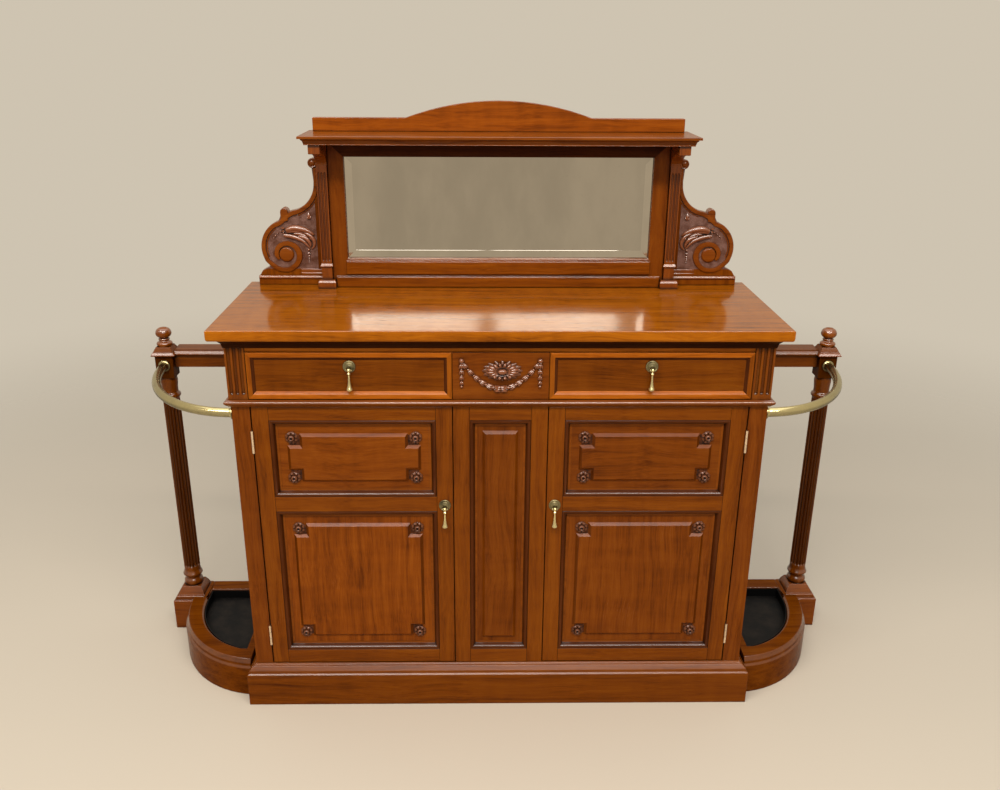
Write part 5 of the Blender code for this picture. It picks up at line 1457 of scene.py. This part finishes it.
class MakePosts(BenchOperator):
    """Turn and flute the posts of the stick stands, with foot, block, cap and finial"""

    bl_idname = "cupboard.posts"
    bl_label = "Stand posts"

    def make(self, sizes):
        cap_foot, cap_edge = 0.7475, 0.7550
        for side, _ in SIDES:
            low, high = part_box(f"{side}_stand_post")
            centre = Vector(((low.x + high.x) / 2, (low.y + high.y) / 2, 0))
            foot = dress(self.foot(centre), "rim_walnut")
            shaft = dress(self.shaft(centre, sizes), "post_fluted")
            head = dress(self.head(centre), "cap_walnut", "post_block", "rim_walnut")
            # Painted shade: the block under the cap is painted dark
            paint(head, 1, lambda f: mid(f).z < cap_foot)
            paint(head, 2, lambda f: cap_foot <= mid(f).z < cap_edge)
            finial = dress(self.finial(centre, high.z), "finial_walnut")
            set_down(join([foot, shaft, head, finial]), f"{side}_post_turned", f"{side}_stand_post", angle=38)
            self.top_rail(side, sizes)

    def top_rail(self, side, sizes):
        """The rail at the back of a stand, with a nosing along its front."""
        low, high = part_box(f"{side}_stand_top_rail")
        board = plank((low.x, low.y + 0.0085, low.z), (high.x, high.y, high.z), sizes.arris)
        bead = nosing((low.x, high.x), low.y + 0.0002, low.y + 0.0095, high.z - 0.0014, 0.0112)
        set_down(dress_all([board, bead], "stand_across"), f"{side}_stand_rail_moulded",
                 f"{side}_stand_top_rail")

    def square(self, centre, *profile):
        """Square work round the middle of a post, each level its height and half its width."""
        levels = [(centre.x - half, centre.x + half, centre.y - half, centre.y + half, up)
                  for up, half in profile]
        return soften(stack(levels), 0.0009)

    def foot(self, centre):
        return self.square(centre, (0.0, 0.045), (0.080, 0.045), (0.082, 0.043), (0.082, 0.039),
                           (0.090, 0.039), (0.092, 0.037), (0.092, 0.0335), (0.0965, 0.0318),
                           (0.1030, 0.0296), (0.1090, 0.0262), (0.1135, 0.0235))

    def head(self, centre):
        return self.square(centre, (0.6908, 0.0195), (0.6922, 0.021), (0.7468, 0.021), (0.7482, 0.0235),
                           (0.7482, 0.0262), (0.7494, 0.0280), (0.7508, 0.0280), (0.7560, 0.0247),
                           (0.7574, 0.0234), (0.7605, 0.0218), (0.7650, 0.0193), (0.7692, 0.0170))

    def shaft(self, centre, sizes):
        """A turned shaft, fluted by drawing in some of the columns of its points."""
        r = sizes.post
        base, foot, neck, top = 0.112, 0.165, 0.633, 0.692
        low = [(1.04, 0.0), (1.10, 0.06), (1.18, 0.18), (1.12, 0.30), (1.0, 0.37), (0.98, 0.43), (1.04, 0.50),
               (1.20, 0.57), (1.22, 0.63), (1.12, 0.71), (1.03, 0.80), (1.0, 0.90)]
        profile = [(0.0, base)] + [(r * wide, base + (foot - base) * up) for wide, up in flow(low, 3)]
        ends = (0.0, 0.0022, 0.0055)
        profile += [(r, foot + end) for end in ends] + [(r, neck - end) for end in reversed(ends)]
        high = [(1.0, 0.05), (1.06, 0.09), (1.18, 0.16), (1.17, 0.24), (0.98, 0.31), (0.93, 0.38),
                (0.95, 0.55), (1.02, 0.78), (1.0, 0.90), (0.96, 1.0)]
        profile += [(r * wide, neck + (top - neck) * up) for wide, up in flow(high, 3)] + [(0.0, top)]
        columns = 6
        sides = sizes.flutes * columns
        piece = turn(profile, centre, UPWARD, sides)
        open_edit(piece, "VERT")
        for reach, share in ((ends[1], 0.55), (ends[2], 1.0)):
            rings = (foot + reach, neck - reach)
            for column, depth in ((1, 0.66), (2, 0.95), (3, 1.0)):
                def in_flute(v):
                    if min(abs(v.co.z - ring) for ring in rings) > 0.0002:
                        return False
                    angle = math.atan2(v.co.y - centre.y, v.co.x - centre.x)
                    return round(angle * sides / (2 * math.pi)) % columns in (column, columns - column)

                pick(in_flute, "VERT")
                narrow = 1 - sizes.flute * depth * share / r
                bpy.ops.transform.resize(value=(narrow, narrow, 1), center_override=centre)
        close_edit()
        return piece

    def finial(self, centre, top):
        """A ball on a turned neck."""
        low, r = 0.7680, 0.0185
        knob = [(0.88, 0.0), (0.94, 0.06), (1.0, 0.14), (0.95, 0.21), (0.70, 0.28), (0.64, 0.33),
                (0.72, 0.385), (0.66, 0.43), (0.56, 0.475), (0.80, 0.53), (0.96, 0.62), (1.0, 0.71),
                (0.94, 0.82), (0.78, 0.92), (0.44, 0.985), (0.0, 1.0)]
        profile = [(0.0, low)] + [(r * wide, low + (top - low) * up) for wide, up in flow(knob, 4)]
        return turn(profile, centre, UPWARD, 40)


class MakeRails(BenchOperator):
    """Bend the brass rails of the stick stands and turn their flanges"""

    bl_idname = "cupboard.rails"
    bl_label = "Brass rails"

    def make(self, sizes):
        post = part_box("right_stand_post")
        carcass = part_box("right_side_panel")[1].x
        low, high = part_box("right_brass_rail")
        level = (low.z + high.z) / 2
        post_x = (post[0].x + post[1].x) / 2
        start = WALL - 0.066
        span, reach = post_x - carcass, start - (low.y + sizes.tube)
        steps, sunk = 40, 0.0004
        turns = [math.pi / 2 * k / steps for k in range(steps + 1)]
        bow = [(carcass + span * math.cos(angle), start - reach * math.sin(angle), level) for angle in turns]
        bow[0] = (post_x, start - sunk, level)
        bow[-1] = (carcass + sunk, start - reach, level)
        flange = [(0.0, 0.0004), (0.0138, 0.0004), (0.0140, 0.0012), (0.0136, 0.0026), (0.0120, 0.0034),
                  (0.0106, 0.0040), (0.0101, 0.0052), (0.0, 0.0052)]
        rail = dress_all([rod(bow, [sizes.tube] * len(bow), 10),
                          turn(flange, (post_x, start, level), FORWARD, 40),
                          turn(flange, (carcass, start - reach, level), (1, 0, 0), 40)], "rail_brass")
        for (side, _), piece in zip(SIDES, (copy_of(rail, MIRRORED), rail)):
            set_down(piece, f"{side}_rail_bent", f"{side}_brass_rail", slot="aged_brass", angle=45)


class MakeStands(BenchOperator):
    """Ease the kerbs of the stick stands and their iron drip trays"""

    bl_idname = "cupboard.stands"
    bl_label = "Kerbs and trays"

    def make(self, sizes):
        past_foot, wide = 0.0455, 0.0095
        for side, sign in SIDES:
            ease_node(f"{side}_stand_kerb", "kerb_run", 0.0016, segments=3, angle=20,
                      work=lambda piece: self.open_well(piece, side, sign))
            low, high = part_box(f"{side}_stand_post")
            foot = (low.x + high.x) / 2 - sign * past_foot
            left, right = sorted((foot, foot + sign * wide))
            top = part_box(f"{side}_stand_kerb")[1].z - 0.0004
            shoulder = plank((left, WALL - 0.0895, 0.078), (right, WALL - 0.0155, top), 0.0008)
            set_down(dress(shoulder, "kerb_run"), f"{side}_kerb_shoulder")
            ease_node(f"{side}_drip_tray", "black_iron_paint", 0.0007, f"{side}_tray", "black_iron",
                      segments=3)

    def open_well(self, piece, side, sign):
        """Slope the curved inner edge of a kerb down into its well."""
        low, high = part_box(f"{side}_drip_tray")
        well = (low + high) / 2
        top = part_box(f"{side}_stand_kerb")[1].z

        def is_inner(e):
            middle = (e.verts[0].co + e.verts[1].co) / 2
            if min(v.co.z for v in e.verts) < top - 0.0005:
                return False
            return any(abs(f.normal.z) < 0.3 and f.normal.dot(well - middle) > 0 and f.normal.y > 0.02
                       and sign * f.normal.x < 0.5 for f in e.link_faces)

        open_edit(piece)
        pick(is_inner, "EDGE")
        bpy.ops.mesh.bevel(offset=0.0045, segments=1, affect="EDGES")
        close_edit()


class MakeStage(bpy.types.Operator):
    """Lay the floor and set the lights and the camera"""

    bl_idname = "cupboard.stage"
    bl_label = "Stage"

    def execute(self, context):
        settings = context.scene.cupboard_stage
        self.floor()
        self.world(settings.daylight)
        self.lamp("ceiling_light", (0.0, -0.6, 4.6), (0.0, -0.6, 0.0), (6.0, 6.0), settings.ceiling)
        self.lamp("key_light", (-0.35, -2.3, 3.5), (-0.1, 0.0, 0.7), (5.9, 0.30), settings.key,
                  (1.0, 0.91, 0.82))
        for side, sign in SIDES:
            self.lamp(f"{side}_window_light", (sign * 0.43, -3.3, 2.42), (0.0, 0.17, 1.0), (0.78, 1.0),
                      settings.windows)
        self.camera(settings)
        context.scene.view_settings.view_transform = "Standard"
        return {"FINISHED"}

    def floor(self):
        """A pale floor that fades into the backdrop a few metres out."""
        take(None)
        bpy.ops.mesh.primitive_circle_add(vertices=96, radius=9.0, fill_type="NGON", location=HERE)
        floor = settle()
        floor.name = "studio_floor"
        recipe = Recipe("pale_floor")
        place = recipe.place()
        cloud = recipe.noise(place, 1.3, 3.0, 0.5)
        reach = recipe.add("ShaderNodeVectorMath", {"operation": "LENGTH"}, {0: place}, out="Value")
        tone = recipe.tones.floor
        body = recipe.mix(cloud * 0.5, tone, shade(tone, 0.96))
        floor.data.materials.append(recipe.finish(body, 0.85, specular_ior_level=0.1,
                                                  alpha=1 - reach.ramp(1.2, 3.8)))

    def world(self, strength):
        """Soft light from all round; the camera, metal and glass see the pale colour of the floor."""
        world = bpy.data.worlds.new("studio_daylight")
        bpy.context.scene.world = world
        recipe = Recipe(world.name, world)
        seen = recipe.add("ShaderNodeLightPath", out="Is Camera Ray")
        for kind in ("Is Glossy Ray", "Is Transmission Ray"):
            ray = recipe.add("ShaderNodeLightPath", out=kind)
            seen = recipe.add("ShaderNodeMath", {"operation": "MAXIMUM"}, {0: seen, 1: ray})
        tones = ((1.0, 0.98, 0.95, 1.0), (*recipe.tones.floor, 1.0))
        light, backdrop = (recipe.add("ShaderNodeBackground", None, {"Color": tone, "Strength": power})
                           for tone, power in zip(tones, (strength, 1.0)))
        both = recipe.add("ShaderNodeMixShader", None, {0: seen, 1: light, 2: backdrop})
        recipe.end("ShaderNodeOutputWorld", both)

    def lamp(self, name, place, target, size, power, tone=(1, 1, 1)):
        data = bpy.data.lights.new(name, "AREA")
        data.shape = "RECTANGLE"
        data.size, data.size_y = size
        data.energy = power
        data.color = tone
        lamp = bpy.data.objects.new(name, data)
        lamp.location = place
        lamp.rotation_euler = (Vector(target) - Vector(place)).to_track_quat("-Z", "Y").to_euler()
        bpy.context.scene.collection.objects.link(lamp)

    def camera(self, settings):
        pitch, yaw, roll = settings.pitch, settings.yaw, settings.roll
        ahead = math.cos(pitch)
        forward = Vector((math.sin(yaw) * ahead, math.cos(yaw) * ahead, -math.sin(pitch)))
        level = Vector((math.cos(yaw), -math.sin(yaw), 0))
        upright = level.cross(forward)
        right = level * math.cos(roll) + upright * math.sin(roll)
        up = upright * math.cos(roll) - level * math.sin(roll)
        data = bpy.data.cameras.new("camera")
        data.sensor_fit = "HORIZONTAL"
        data.sensor_width = 36.0
        data.lens = settings.lens
        data.shift_x = settings.shift
        camera = bpy.data.objects.new("camera", data)
        turned = Matrix((right, up, -forward)).transposed().to_4x4()
        camera.matrix_world = Matrix.Translation(settings.eye) @ turned
        bpy.context.scene.collection.objects.link(camera)
        bpy.context.scene.camera = camera


MAKERS = (MakeCarcass, MakeDoors, MakeCentre, MakeDrawers, MakePulls, MakeHinges, MakeFrieze, MakeMirror,
          MakePilasters, MakeBrackets, MakePosts, MakeRails, MakeStands, MakeStage)
GROUPS = {"cupboard_sizes": CupboardSizes, "cupboard_colours": CupboardColours,
          "cupboard_stage": CupboardStage}


class CupboardPanel(bpy.types.Panel):
    """Sizes, colours and pieces of the cupboard"""

    bl_idname = "VIEW3D_PT_cupboard"
    bl_label = "Hall Cupboard"
    bl_space_type = "VIEW_3D"
    bl_region_type = "UI"
    bl_category = "Cupboard"

    def draw(self, context):
        for group, kind in GROUPS.items():
            box = self.layout.box()
            for name in kind.__annotations__:
                box.prop(getattr(context.scene, group), name)
        for maker in MAKERS:
            self.layout.operator(maker.bl_idname)


CLASSES = (*GROUPS.values(), *MAKERS, CupboardPanel)


def register():
    for item in CLASSES:
        bpy.utils.register_class(item)
    for group, kind in GROUPS.items():
        setattr(bpy.types.Scene, group, PointerProperty(type=kind))


def unregister():
    for group in GROUPS:
        delattr(bpy.types.Scene, group)
    for item in reversed(CLASSES):
        bpy.utils.unregister_class(item)


def main():
    register()
    for maker in MAKERS:
        group, name = maker.bl_idname.split(".")
        getattr(getattr(bpy.ops, group), name)()


if __name__ == "__main__":
    main()
